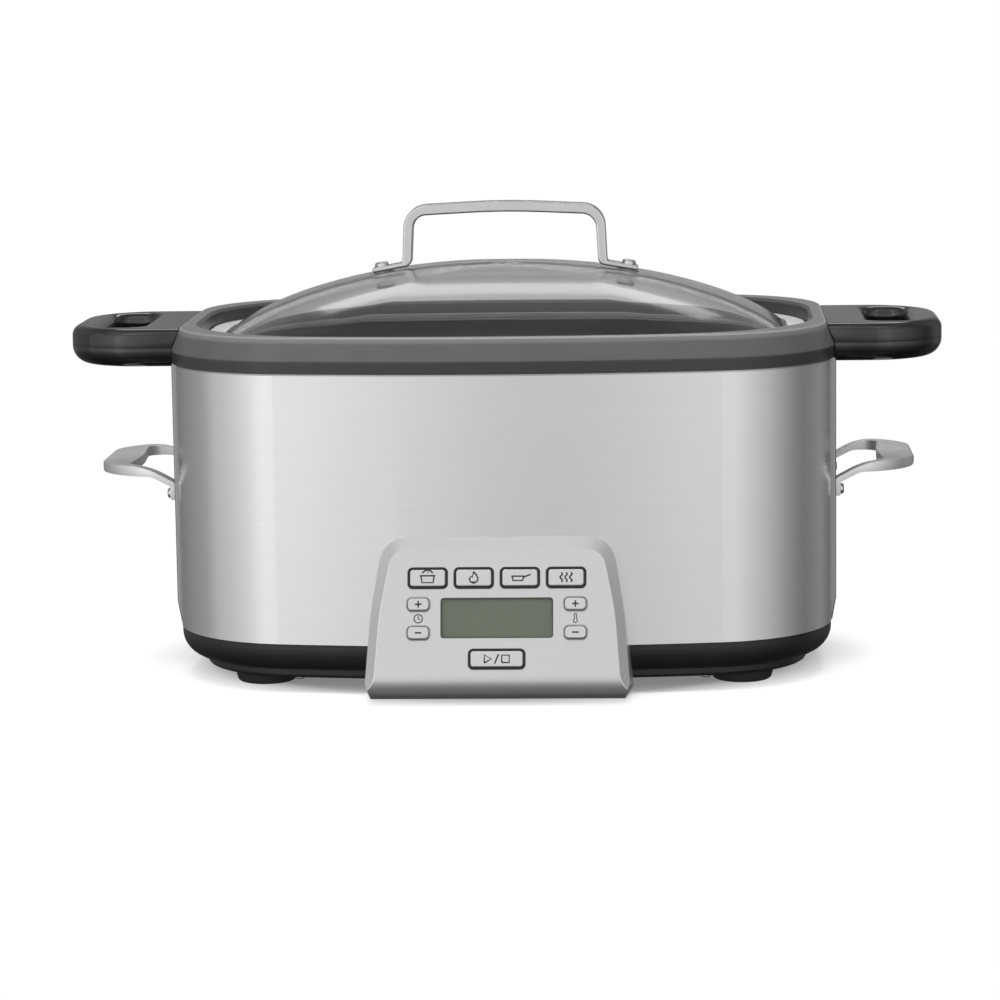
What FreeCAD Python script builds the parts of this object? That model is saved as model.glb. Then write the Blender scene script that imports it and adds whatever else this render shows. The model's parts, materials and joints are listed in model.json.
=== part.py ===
import FreeCAD, Part
import math
import os
from types import SimpleNamespace

import Sketcher

# Oblong slow cooker: a lift-out pot with a domed glass lid stands in a brushed steel housing,
# on a black base with four feet. A sloping control panel stands in front of the housing.
# Millimetres, +Z up, front towards -Y. Inside each sub-part, Y is measured from the pot's axis;
# frame_shift then moves everything back so that the whole cooker is centred on the origin.

DIMENSIONS = {
    # plan of the housing: half sizes, corner radius and the bow of the long sides
    "half_length": 180.0,
    "half_depth": 126.0,
    "corner_radius": 72.0,
    "front_bow": 760.0,
    "frame_shift": 12.59,
    # housing, base and feet
    "sheet": 0.9,
    "housing_bottom": 27.0,
    "housing_top": 172.0,
    "base_bottom": 11.0,
    "base_inset": 0.3,
    "base_round": 13.0,
    "base_wall": 2.8,
    "base_floor": 2.2,
    "cover_bottom": 6.0,
    "cover_floor": 2.0,
    "cover_inset": 14.0,
    "cover_rim": 13.0,
    "vent_length": 34.0,
    "vent_width": 3.2,
    "vent_pitch": 9.0,
    "foot_x": 130.0,
    "foot_y": 77.0,
    "foot_radius": 17.3,
    "foot_round": 2.4,
    "cover_screw_x": 110.0,
    "cover_screw_y": 96.0,
    "cover_screw_end": 159.0,
    "screw_radius": 1.6,
    "screw_play": 0.25,
    "screw_head": 3.0,
    "screw_head_height": 1.8,
    # raised end panels and their side handles
    "end_panel_thickness": 2.4,
    "end_panel_half_width": 51.0,
    "end_panel_bottom": 27.3,
    "end_panel_slope": 12.0,
    "end_panel_round": 1.2,
    "side_handle_reach": 227.0,
    "side_handle_half_width": 50.0,
    "side_handle_top": 114.3,
    "side_handle_thickness": 5.6,
    "side_foot_thickness": 2.4,
    "side_foot_bottom": 95.6,
    "side_foot_top": 103.2,
    "side_arm_drop": 9.0,
    "side_arm_bend": 199.0,
    "side_arm_round": 40.0,
    "side_arm_width": 10.0,
    "side_grip_width": 17.5,
    "side_grip_bulge": 3.0,
    "side_corner": 36.0,
    "rivet_y": 45.0,
    "rivet_z": 99.0,
    "rivet_radius": 2.0,
    "rivet_head": 3.0,
    "rivet_head_height": 2.1,
    "rivet_length": 7.6,
    "rivet_tail": 3.2,
    # well liner, heater and sensor
    "liner_inset": 15.6,
    "liner_sheet": 0.8,
    "liner_floor": 36.0,
    "plate_inset": 40.0,
    "plate_bottom": 46.0,
    "plate_top": 52.0,
    "plate_hole": 13.0,
    "element_radius": 3.4,
    "element_x": 98.0,
    "element_y": 46.0,
    "element_gap": 14.0,
    "element_bend": 26.0,
    "element_drop": 0.2,
    "standoff_x": 70.0,
    "standoff_y": 66.0,
    "standoff_radius": 5.0,
    "fuse_radius": 2.4,
    "fuse_length": 22.0,
    "fuse_y": 27.0,
    "sensor_radius": 9.0,
    "sensor_stem": 3.0,
    "sensor_cap_height": 5.5,
    "sensor_tail": 33.0,
    "cup_radius": 11.8,
    "cup_height": 7.0,
    "cup_wall": 1.3,
    "spring_radius": 8.0,
    "spring_wire": 1.4,
    # power electronics inside the base
    "power_board_x": 96.0,
    "power_board_front": -62.0,
    "power_board_back": 2.0,
    "power_board_level": 17.0,
    "board_thickness": 1.6,
    "board_post": 3.2,
    "relay_x": 21.0,
    "relay_y": 16.0,
    "relay_height": 14.5,
    "transformer_x": 30.0,
    "transformer_y": 26.0,
    "transformer_height": 15.5,
    "gland_z": 46.0,
    "gland_bore": 4.0,
    "gland_body": 7.0,
    "gland_flange": 10.0,
    "gland_proud": 2.3,
    "gland_inside": 7.0,
    # pot: rim grows past the housing, lip, ledge for the lid, tapering wall
    "rim_overhang": 2.0,
    "rim_bottom": 173.1,
    "rim_crease": 179.8,
    "lip_top": 192.0,
    "lip_outer_inset": 3.0,
    "lip_inner_inset": 10.6,
    "lip_roundness": 24.0,
    "ledge_inset": 11.0,
    "ledge_level": 182.2,
    "lip_round": 1.6,
    "pot_wall_inset": 18.0,
    "pot_inside_inset": 21.4,
    "pot_draft": 8.0,
    "pot_bottom": 52.3,
    "pot_floor": 4.0,
    "pot_round": 30.0,
    "lug_reach": 198.5,
    "lug_half_width": 28.0,
    "lug_thickness": 4.6,
    # pot handles, each an upper and a lower shell
    "pot_handle_reach": 242.0,
    "pot_handle_half_width": 55.0,
    "pot_handle_top": 191.0,
    "pot_handle_parting": 180.6,
    "pot_handle_bottom": 169.8,
    "pot_handle_corner": 40.0,
    "pot_handle_edge": 6.0,
    "pot_handle_belly": 9.5,
    "finger_hole_x": 213.0,
    "finger_hole_width": 21.8,
    "finger_hole_length": 74.0,
    "finger_hole_corner": 8.0,
    "finger_hole_step": 1.6,
    "rim_gap": 1.2,
    "handle_gap": 0.6,
    "shell_play": 0.25,
    "pot_screw_x": 192.0,
    "pot_screw_y": 16.0,
    # lid: glass dome, steel rim, handle
    "lid_rim_inset": 12.0,
    "lid_rim_level": 182.5,
    "lid_rim_thickness": 1.7,
    "glass_inset": 22.9,
    "glass_seat": 181.4,
    "glass_thickness": 4.0,
    "dome_base": 181.5,
    "dome_rise": 41.3,
    "dome_reach": 158.0,
    "dome_fullness": 0.74,
    "rim_channel": 0.8,
    "rim_hook": 3.2,
    "rim_web_top": 184.5,
    "lid_handle_top": 256.5,
    "lid_handle_arch": 2.8,
    "lid_handle_bar": 5.9,
    "lid_handle_post": 54.8,
    "lid_handle_post_thickness": 5.0,
    "lid_handle_width": 13.0,
    "lid_handle_bend": 13.0,
    "lid_handle_foot": 68.6,
    "lid_handle_toe": 5.4,
    "lid_foot_thickness": 2.6,
    "lid_foot_bend": 1.5,
    "lid_foot_lean": 1.5,
    "lid_handle_edge": 1.0,
    "lid_washer": 0.5,
    "lid_washer_radius": 6.2,
    "lid_screw_radius": 2.4,
    "lid_screw_head": 3.9,
    "lid_screw_head_height": 2.3,
    "lid_nut_radius": 5.5,
    "lid_nut_height": 3.6,
    # control panel: a sloping face, its own frame starts at the face's lower edge
    "panel_tilt": 18.0,
    "panel_front": -153.0,
    "panel_foot": 17.0,
    "panel_floor": 2.2,
    "panel_face_height": 67.0,
    "panel_drop": 26.0,
    "panel_half_top": 55.6,
    "panel_half_middle": 62.2,
    "panel_half_bottom": 66.6,
    "panel_side_bow": 170.0,
    "panel_corner": 10.5,
    "panel_depth": 46.0,
    "panel_reach": 39.5,
    "panel_bevel": 5.0,
    "panel_bevel_top": 7.5,
    "panel_bevel_depth": 4.5,
    "panel_flare": 2.0,
    "panel_chin": 11.5,
    "panel_toe_width": 6.0,
    "panel_toe_height": 16.0,
    "panel_edge": 1.0,
    "panel_wall": 2.2,
    "window_half_width": 53.0,
    "window_bottom": 31.0,
    "window_top": 79.0,
    # keys, in the panel's own frame
    "key_proud": 1.1,
    "key_play": 0.35,
    "key_travel": 0.6,
    "key_flange": 0.9,
    "key_flange_thickness": 1.3,
    "key_round": 0.7,
    "collar_proud": 0.25,
    "collar_wide": 1.0,
    "collar_narrow": 0.45,
    "frame_plate": 1.3,
    "mode_pitch": 24.4,
    "mode_v": 51.6,
    "mode_width": 18.6,
    "mode_height": 8.8,
    "mode_corner": 1.5,
    "step_u": 41.5,
    "step_v": 30.0,
    "step_pitch": 15.2,
    "step_width": 11.2,
    "step_height": 6.4,
    "step_corner": 2.3,
    "start_v": 8.4,
    "start_width": 27.6,
    "start_height": 8.4,
    "start_corner": 1.6,
    "lens_v": 30.3,
    "lens_width": 59.6,
    "lens_height": 21.6,
    "lens_corner": 1.8,
    "lens_sunk": 0.9,
    "lens_thickness": 2.6,
    "lcd_border": 2.6,
    "lcd_thickness": 4.6,
    "control_board_depth": 9.2,
    "control_board_half_width": 49.0,
    "control_board_bottom": 3.0,
    "control_board_top": 64.0,
    "switch_size": 6.0,
    "switch_height": 2.1,
    "boss_u": 27.0,
    "boss_low": 8.4,
    "boss_high": 60.6,
    "boss_radius": 2.6,
    "ribbon_width": 16.0,
    "ribbon_thickness": 1.2,
    "ribbon_level": 44.0,
    "ribbon_back": -117.5,
    "ribbon_low": 17.2,
    "ribbon_end": -62.1,
    "ribbon_bend": 4.0,
}

THROUGH = 600.0
SIDES = (("left", -1), ("right", 1))
DOME_STEPS = (1.0, 0.965, 0.905, 0.81, 0.69, 0.56, 0.44, 0.3, 0.14)


class Size:
    """A measure that keeps its spreadsheet formula beside its present value."""

    def __init__(self, formula, value):
        self.formula = formula
        self.value = value

    def joined(self, sign, other, value):
        return Size("(%s %s %s)" % (self.formula, sign, other.formula), value)

    def __add__(self, other):
        other = as_size(other)
        return self.joined("+", other, self.value + other.value)

    def __sub__(self, other):
        other = as_size(other)
        return self.joined("-", other, self.value - other.value)

    def __mul__(self, other):
        other = as_size(other)
        return self.joined("*", other, self.value * other.value)

    def __truediv__(self, other):
        other = as_size(other)
        return self.joined("/", other, self.value / other.value)

    def __neg__(self):
        return Size("(0 - %s)" % self.formula, -self.value)


def as_size(number):
    """Give a plain number the form of a Size."""
    if isinstance(number, Size):
        return number
    return Size("(%.9f)" % number, float(number))


doc = FreeCAD.newDocument("slow_cooker")
sheet = doc.addObject("Spreadsheet::Sheet", "sizes")
for row, (alias, number) in enumerate(DIMENSIONS.items(), start=1):
    sheet.set("A%d" % row, alias)
    sheet.set("B%d" % row, str(number))
    sheet.setAlias("B%d" % row, alias)
doc.recompute()
d = SimpleNamespace(**{alias: Size("sizes." + alias, number) for alias, number in DIMENSIONS.items()})
nodes = []


def bind(item, path, size):
    """Tie a property to the sheet."""
    item.setExpression(path, as_size(size).formula)


def keep(item, label):
    """Name a finished sub-part."""
    item.Label = label
    nodes.append(item)
    return item


def new_body(name, x=0.0, y=0.0, z=0.0):
    """A body whose own axes stand at a point given from the pot's axis."""
    body = doc.addObject("PartDesign::Body", name)
    bind(body, "Placement.Base.x", x)
    bind(body, "Placement.Base.y", d.frame_shift + y)
    bind(body, "Placement.Base.z", z)
    return body


def panel_body(name):
    """A body in the panel's frame: x to the right, y up the face, z out of the face."""
    body = new_body(name, 0.0, d.panel_front, d.panel_foot)
    body.Placement.Rotation = FreeCAD.Rotation(FreeCAD.Vector(1, 0, 0), 90.0 - d.panel_tilt.value)
    bind(body, "Placement.Rotation.Angle", as_size(90.0) - d.panel_tilt)
    return body


def sketch(body, plane="XY_Plane", offset=0.0):
    """An empty sketch on one of the body's own planes, moved along the plane's normal."""
    item = body.newObject("Sketcher::SketchObject", "profile")
    support = next(part for part in body.Origin.OriginFeatures if part.Role == plane)
    item.AttachmentSupport = [(support, "")]
    item.MapMode = "FlatFace"
    bind(item, "AttachmentOffset.Base.z", offset)
    return item


def drive(item, kind, refs, size):
    """Add one dimension to a sketch and tie it to the sheet."""
    size = as_size(size)
    index = item.addConstraint(Sketcher.Constraint(kind, *refs, size.value))
    bind(item, "Constraints[%d]" % index, size)


def fix_point(item, geometry, position, x, y):
    """Hold a sketch point at x, y from the sketch's origin."""
    for kind, axis, size in (("DistanceX", -2, as_size(x)), ("DistanceY", -1, as_size(y))):
        if abs(size.value) < 1e-6:
            item.addConstraint(Sketcher.Constraint("PointOnObject", geometry, position, axis))
        elif size.value > 0:
            drive(item, kind, (-1, 1, geometry, position), size)
        else:
            drive(item, kind, (geometry, position, -1, 1), -size)


def circle(item, x, y, radius):
    """A circle at x, y."""
    x, y, radius = as_size(x), as_size(y), as_size(radius)
    centre = FreeCAD.Vector(x.value, y.value, 0)
    index = item.addGeometry(Part.Circle(centre, FreeCAD.Vector(0, 0, 1), radius.value))
    fix_point(item, index, 3, x, y)
    drive(item, "Radius", (index,), radius)


def arc_through(centre, start, end):
    """The anticlockwise arc about a centre from one point to another."""
    radius = (start - centre).Length
    first = math.atan2(start.y - centre.y, start.x - centre.x)
    last = math.atan2(end.y - centre.y, end.x - centre.x)
    return Part.ArcOfCircle(Part.Circle(centre, FreeCAD.Vector(0, 0, 1), radius), first, last)


def outline(item, corners, closed=True):
    """Straight lines from corner to corner, each corner (x, y, rounding radius)."""
    corners = [tuple(as_size(part) for part in corner) for corner in corners]
    points = [FreeCAD.Vector(x.value, y.value, 0) for x, y, radius in corners]
    count = len(corners)
    entries, exits, arcs = list(points), list(points), {}
    for i, (x, y, radius) in enumerate(corners):
        if radius.value < 1e-6:
            continue
        before = (points[i - 1] - points[i]).normalize()
        after = (points[(i + 1) % count] - points[i]).normalize()
        half = before.getAngle(after) / 2
        entries[i] = points[i] + before * (radius.value / math.tan(half))
        exits[i] = points[i] + after * (radius.value / math.tan(half))
        centre = points[i] + (before + after).normalize() * (radius.value / math.sin(half))
        left_turn = before.cross(after).z < 0
        ends = (entries[i], exits[i]) if left_turn else (exits[i], entries[i])
        index = item.addGeometry(arc_through(centre, *ends))
        corner = item.addGeometry(Part.Point(points[i]), True)
        arcs[i] = (index, 1 if left_turn else 2, 2 if left_turn else 1, corner)
        fix_point(item, corner, 1, x, y)
        drive(item, "Radius", (index,), radius)
    spans = range(count if closed else count - 1)
    lines = {i: item.addGeometry(Part.LineSegment(exits[i], entries[(i + 1) % count])) for i in spans}
    for i, (x, y, radius) in enumerate(corners):
        arriving = lines.get((i - 1) % count)
        leaving = lines.get(i)
        if i in arcs:
            index, entry, leave, corner = arcs[i]
            item.addConstraint(Sketcher.Constraint("Tangent", arriving, 2, index, entry))
            item.addConstraint(Sketcher.Constraint("Tangent", index, leave, leaving, 1))
            item.addConstraint(Sketcher.Constraint("PointOnObject", corner, 1, arriving))
            item.addConstraint(Sketcher.Constraint("PointOnObject", corner, 1, leaving))
            continue
        if arriving is not None and leaving is not None:
            item.addConstraint(Sketcher.Constraint("Coincident", arriving, 2, leaving, 1))
        if leaving is not None:
            fix_point(item, leaving, 1, x, y)
        else:
            fix_point(item, arriving, 2, x, y)


def rectangle(item, x, y, width, height, corner=0.0):
    """A rectangle centred at x, y with rounded corners."""
    x, y, half, tall = as_size(x), as_size(y), as_size(width) / 2, as_size(height) / 2
    signs = ((-1, -1), (1, -1), (1, 1), (-1, 1))
    outline(item, [(x + half * u, y + tall * v, corner) for u, v in signs])


def bowed_outline(item, length, depth, bow, corner):
    """The oblong plan: bowed long sides, straight ends and round corners, from its half sizes."""
    a, b, big, small = length.value, depth.value, bow.value, corner.value
    across = a - small
    side = big - b - math.sqrt((big - small) ** 2 - across ** 2)
    touch_x = across * big / (big - small)
    touch_y = big - b - math.sqrt(big ** 2 - touch_x ** 2)
    vector = FreeCAD.Vector
    front, back = vector(0, big - b, 0), vector(0, b - big, 0)
    marks = [vector(-touch_x, touch_y, 0), vector(touch_x, touch_y, 0), vector(a, side, 0),
             vector(a, -side, 0), vector(touch_x, -touch_y, 0), vector(-touch_x, -touch_y, 0),
             vector(-a, -side, 0), vector(-a, side, 0)]
    centres = [front, vector(across, side, 0), None, vector(across, -side, 0),
               back, vector(-across, -side, 0), None, vector(-across, side, 0)]
    pieces = []
    for i, centre in enumerate(centres):
        ends = marks[i], marks[(i + 1) % 8]
        shape = arc_through(centre, *ends) if centre else Part.LineSegment(*ends)
        pieces.append(item.addGeometry(shape))
    for i in range(8):
        item.addConstraint(Sketcher.Constraint("Tangent", pieces[i], 2, pieces[(i + 1) % 8], 1))
    for i in (0, 4):
        item.addConstraint(Sketcher.Constraint("PointOnObject", pieces[i], 3, -2))
    for i, twin in ((0, 4), (1, 3), (1, 5), (1, 7)):
        item.addConstraint(Sketcher.Constraint("Equal", pieces[i], pieces[twin]))
    drive(item, "Radius", (pieces[0],), bow)
    drive(item, "Radius", (pieces[1],), corner)
    drive(item, "DistanceX", (-1, 1, pieces[2], 1), length)
    drive(item, "DistanceX", (pieces[6], 1, -1, 1), length)
    drive(item, "DistanceY", (-1, 1, pieces[0], 3), bow - depth)
    drive(item, "DistanceY", (pieces[4], 3, -1, 1), bow - depth)
    for i in (2, 6):
        item.addConstraint(Sketcher.Constraint("Vertical", pieces[i]))


def plan(item, inset, scale=1.0, rounder=0.0):
    """The housing's plan, drawn in by an inset, its corners made rounder, and scaled about its centre."""
    sizes = (d.half_length, d.half_depth, d.front_bow, d.corner_radius + rounder)
    bowed_outline(item, *[(size - inset) * scale for size in sizes])


def plan_sketch(body, level, *insets, scale=1.0, rounder=0.0):
    """A sketch at a level with one or more plans."""
    item = sketch(body, offset=level)
    for inset in insets:
        plan(item, inset, scale, rounder)
    return item


def lid_plan(body, level, *insets, scale=1.0):
    """A sketch of plans that follow the mouth of the pot, whose corners are rounder than the housing's."""
    return plan_sketch(body, level, *insets, scale=scale, rounder=d.lip_roundness)


def finish(feature):
    """Compute a new feature and stop where it failed."""
    doc.recompute()
    if "Invalid" in feature.State or feature.Shape.isNull():
        raise ValueError("failed: %s of %s" % (feature.Name, feature.getParentGeoFeatureGroup().Name))
    return feature


def pad(body, profile, length, symmetric=False, reverse=False):
    feature = body.newObject("PartDesign::Pad", "pad")
    feature.Profile = profile
    feature.SideType = "Symmetric" if symmetric else "One side"
    feature.Reversed = reverse
    bind(feature, "Length", length)
    return finish(feature)


def pocket(body, profile, length, symmetric=False, reverse=False):
    before = body.Shape.Volume
    feature = body.newObject("PartDesign::Pocket", "pocket")
    feature.Profile = profile
    feature.SideType = "Symmetric" if symmetric else "One side"
    feature.Reversed = reverse
    bind(feature, "Length", length)
    finish(feature)
    if body.Shape.Volume > before - 0.01:
        raise ValueError("nothing was cut in " + body.Name)
    return feature


def loft(body, sections, cut=False):
    feature = body.newObject("PartDesign::SubtractiveLoft" if cut else "PartDesign::AdditiveLoft", "loft")
    feature.Profile = sections[0]
    feature.Sections = sections[1:]
    return finish(feature)


def revolve(body, corners):
    """Turn a profile given as (radius, height, rounding) about the body's own Z axis."""
    profile = sketch(body, "XZ_Plane")
    outline(profile, corners)
    feature = body.newObject("PartDesign::Revolution", "turn")
    feature.Profile = profile
    feature.ReferenceAxis = (profile, ["V_Axis"])
    feature.Angle = 360.0
    return finish(feature)


def dress(kind, body, test, path, size):
    """Round or bevel the edges that pass a test."""
    base = body.Tip
    names = ["Edge%d" % (i + 1) for i, edge in enumerate(base.Shape.Edges) if test(edge)]
    feature = body.newObject("PartDesign::" + kind, kind.lower())
    feature.Base = (base, names)
    bind(feature, path, size)
    return finish(feature)


def fillet(body, test, radius):
    return dress("Fillet", body, test, "Radius", radius)


def level_edges(*levels):
    """Edges that lie flat at one of some heights."""
    heights = [as_size(level).value for level in levels]
    return lambda edge: any(
        abs(edge.BoundBox.ZMin - z) < 0.01 and abs(edge.BoundBox.ZMax - z) < 0.01 for z in heights)


def boolean(kind, name, base, tool):
    item = doc.addObject("Part::" + kind, name)
    item.Base = base
    item.Tool = tool
    doc.recompute()
    return item


def group(label, source, places):
    """Equal pieces in one node: copies of a source shape at several placements."""
    item = doc.addObject("Part::Feature", label)
    copies = []
    for place in places:
        copy = source.Shape.copy()
        copy.Placement = place
        copies.append(copy)
    item.Shape = Part.makeCompound(copies)
    return keep(item, label)


def spot(x, y, z, rotation=FreeCAD.Rotation()):
    """A placement from the pot's axis, moved into the common frame."""
    base = FreeCAD.Vector(as_size(x).value, d.frame_shift.value + as_size(y).value, as_size(z).value)
    return FreeCAD.Placement(base, rotation)


# Envelopes that neighbouring pieces are trimmed against.

def housing_envelope():
    """The solid inside the housing's and the base's outer faces."""
    body = new_body("housing_envelope")
    pad(body, plan_sketch(body, d.housing_bottom, 0.0), d.lip_top - d.housing_bottom)
    return body


def base_block(name, inset, bottom, rounding, height):
    """The base's rounded tray form, solid."""
    body = new_body(name)
    pad(body, plan_sketch(body, bottom, inset), height)
    fillet(body, level_edges(bottom), rounding)
    return body


def rim_envelope():
    """The pot rim and the end panels, grown by the gaps that the pot's handles keep from them."""
    body = new_body("rim_envelope")
    grown = -(d.rim_overhang + d.rim_gap)
    skirt = d.rim_crease - d.pot_handle_bottom + 5.0
    pad(body, plan_sketch(body, d.rim_crease - skirt, grown), skirt)
    low = plan_sketch(body, d.rim_crease, grown)
    high = plan_sketch(body, d.lip_top, d.lip_outer_inset - d.rim_gap)
    loft(body, [low, high])
    ends = sketch(body, offset=d.rim_crease - skirt)
    length = d.half_length + d.end_panel_thickness + d.handle_gap
    rectangle(ends, 0.0, 0.0, length * 2, (d.end_panel_half_width + d.handle_gap) * 2)
    pad(body, ends, d.housing_top + d.handle_gap - d.rim_crease + skirt)
    return body


# Housing, base and feet.

def rivet_holes(body):
    """Two rows of rivet holes right through both ends."""
    holes = sketch(body, "YZ_Plane")
    for side in (-1, 1):
        circle(holes, d.rivet_y * side, d.rivet_z, d.rivet_radius + 0.1)
    pocket(body, holes, THROUGH, symmetric=True)


def housing_shell():
    body = new_body("housing_shell")
    wall = plan_sketch(body, d.housing_bottom, 0.0, d.sheet)
    pad(body, wall, d.housing_top - d.housing_bottom)
    rivet_holes(body)
    window = sketch(body, "XZ_Plane")
    middle = (d.window_bottom + d.window_top) / 2
    rectangle(window, 0.0, middle, d.window_half_width * 2, d.window_top - d.window_bottom, 6.0)
    pocket(body, window, d.half_depth + 10.0, reverse=True)
    cable = sketch(body, "XZ_Plane")
    circle(cable, 0.0, d.gland_z, d.gland_body + 0.1)
    pocket(body, cable, d.half_depth + 10.0)
    return keep(body, "housing_shell")


def end_panel(side_name, side, envelope):
    """A flat raised panel on the end of the housing, sloped away at its foot."""
    body = new_body(side_name + "_end_block")
    face = d.half_length + d.end_panel_thickness
    root = d.half_length - 12.0
    profile = sketch(body, "XZ_Plane")
    corners = [(root, d.end_panel_bottom, 0.0),
               (d.half_length + 0.3, d.end_panel_bottom, 0.0),
               (face, d.end_panel_bottom + d.end_panel_slope, 8.0),
               (face, d.housing_top, 0.0),
               (root, d.housing_top, 0.0)]
    outline(profile, [(x * side, z, radius) for x, z, radius in corners])
    pad(body, profile, d.end_panel_half_width * 2, symmetric=True)
    edge_x = face.value
    fillet(body, lambda edge: abs(abs(edge.CenterOfMass.x) - edge_x) < 0.01
           and edge.BoundBox.ZLength > 60.0, d.end_panel_round)
    rivet_holes(body)
    return keep(boolean("Cut", side_name + "_end_cut", body, envelope), side_name + "_end_panel")


def side_handle(side_name, side):
    """A cast loop handle: a flat grip on two arms that turn down into riveted feet."""
    body = new_body(side_name + "_side_handle")
    face = d.half_length + d.end_panel_thickness
    foot, reach = face + d.side_foot_thickness, d.side_handle_reach
    top = d.side_handle_top
    under = top - d.side_handle_thickness
    nose = d.side_handle_thickness * 0.4
    profile = sketch(body, "XZ_Plane")
    corners = [(face, d.side_foot_bottom, 0.0), (foot, d.side_foot_bottom, 1.0),
               (foot, d.side_foot_top, 2.0), (d.side_arm_bend - 3.5, under, d.side_arm_round * 0.3),
               (reach, under, nose), (reach, top, nose), (d.side_arm_bend, top, d.side_arm_round),
               (face, top - d.side_arm_drop, 1.5)]
    outline(profile, [(x * side, z, radius) for x, z, radius in corners])
    pad(body, profile, d.side_handle_half_width * 2, symmetric=True)
    opening = sketch(body)
    root = face - 2.0
    inner = reach - d.side_grip_width
    clear = d.side_handle_half_width - d.side_arm_width
    corners = [(root, -clear, 0.0), (inner, -clear, 7.0), (inner - d.side_grip_bulge, 0.0, 200.0),
               (inner, clear, 7.0), (root, clear, 0.0)]
    outline(opening, [(x * side, y, radius) for x, y, radius in corners])
    pocket(body, opening, THROUGH, symmetric=True)
    corner_cut = sketch(body)
    wide, corner = d.side_handle_half_width, d.side_corner
    corners = [(root, -wide, 0.0), (reach, -wide, corner), (reach, wide, corner), (root, wide, 0.0),
               (root, wide + 20.0, 0.0), (reach + 20.0, wide + 20.0, 0.0),
               (reach + 20.0, -(wide + 20.0), 0.0), (root, -(wide + 20.0), 0.0)]
    outline(corner_cut, [(x * side, y, radius) for x, y, radius in corners])
    pocket(body, corner_cut, THROUGH, symmetric=True)
    rivet_holes(body)
    return keep(body, side_name + "_side_handle")


def side_handle_rivets():
    body = new_body("rivet", 0.0, -d.frame_shift, 0.0)
    length, tail = d.rivet_length, d.rivet_length + 1.2
    revolve(body, [(0.0, -tail, 0.0), (d.rivet_tail, -tail, 0.3), (d.rivet_tail, -length, 0.0),
                   (d.rivet_radius, -length, 0.0), (d.rivet_radius, 0.0, 0.0), (d.rivet_head, 0.0, 0.0),
                   (d.rivet_head, d.rivet_head_height, 1.6), (0.0, d.rivet_head_height, 0.0)])
    face = d.half_length + d.end_panel_thickness + d.side_foot_thickness
    places = []
    for name, side in SIDES:
        turn = FreeCAD.Rotation(FreeCAD.Vector(0, 1, 0), 90.0 * side)
        places += [spot(face * side, d.rivet_y * end, d.rivet_z, turn) for end in (-1, 1)]
    return group("side_handle_rivets", body, places)


def base_tray(outer):
    """The black tray under the housing, with a flanged opening in its floor."""
    hollow = base_block("base_hollow", d.base_inset + d.base_wall, d.base_bottom + d.base_floor,
                        d.base_round - d.base_floor, d.housing_bottom - d.base_bottom)
    opening = plan_sketch(hollow, d.base_bottom - 1.0, d.cover_inset + d.cover_rim)
    pad(hollow, opening, d.base_floor + 3.0)
    holes = new_body("base_screw_holes")
    spots = sketch(holes, offset=d.base_bottom - 1.0)
    for x, y in cover_screw_spots():
        circle(spots, x, y, d.screw_radius + 0.05)
    holes.AllowCompound = True
    pad(holes, spots, d.base_floor + 2.0)
    tray = boolean("Cut", "base_tray_hollowed", outer, hollow)
    return keep(boolean("Cut", "base_tray_cut", tray, holes), "base_tray")


def cover_screw_spots():
    corners = [(d.cover_screw_x * u, d.cover_screw_y * v) for u in (-1, 1) for v in (-1, 1)]
    return corners + [(d.cover_screw_end * u, as_size(0.0)) for u in (-1, 1)]


def bottom_cover():
    """A shallow pan that closes the base, with vents and screw holes."""
    body = new_body("bottom_cover")
    height = d.base_bottom - d.cover_bottom
    pad(body, plan_sketch(body, d.cover_bottom, d.cover_inset), height)
    fillet(body, level_edges(d.cover_bottom), 2.0)
    hollow = plan_sketch(body, d.base_bottom, d.cover_inset + d.cover_rim)
    pocket(body, hollow, height - d.cover_floor)
    vents = sketch(body)
    for v in (-1, 1):
        rectangle(vents, -(d.vent_pitch * 4), (d.vent_length * 0.62) * v, d.vent_width, d.vent_length, 1.5)
    slots = pocket(body, vents, THROUGH, symmetric=True)
    row = body.newObject("PartDesign::LinearPattern", "vent_row")
    row.Originals = [slots]
    row.Direction = (vents, ["H_Axis"])
    row.Occurrences = 9
    bind(row, "Length", d.vent_pitch * 8)
    body.Tip = row
    finish(row)
    holes = sketch(body)
    for x, y in cover_screw_spots():
        circle(holes, x, y, d.screw_radius + d.screw_play)
    pocket(body, holes, THROUGH, symmetric=True)
    return keep(body, "bottom_cover")


def screw(name, radius, length, head, head_height):
    """A round-headed screw with its head's seat at zero, shank towards +Z."""
    body = new_body(name, 0.0, -d.frame_shift, 0.0)
    revolve(body, [(0.0, -head_height, 0.0), (head, -head_height, head_height * 0.6), (head, 0.0, 0.0),
                   (radius, 0.0, 0.0), (radius, length, 0.4), (0.0, length, 0.0)])
    return body


def bottom_cover_screws():
    length = d.base_bottom - d.cover_bottom + d.base_floor + 1.0
    source = screw("cover_screw", d.screw_radius, length, d.screw_head, d.screw_head_height)
    return group("bottom_cover_screws", source, [spot(x, y, d.cover_bottom) for x, y in cover_screw_spots()])


def feet():
    for depth_name, v in (("front", -1), ("rear", 1)):
        for side_name, u in SIDES:
            body = new_body("foot_%s_%s" % (depth_name, side_name), d.foot_x * u, d.foot_y * v, 0.0)
            revolve(body, [(0.0, 0.0, 0.0), (d.foot_radius - 1.5, 0.0, d.foot_round),
                           (d.foot_radius, d.cover_bottom, 0.0), (0.0, d.cover_bottom, 0.0)])
            keep(body, body.Name)


# Well liner, heater and sensor.

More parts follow.
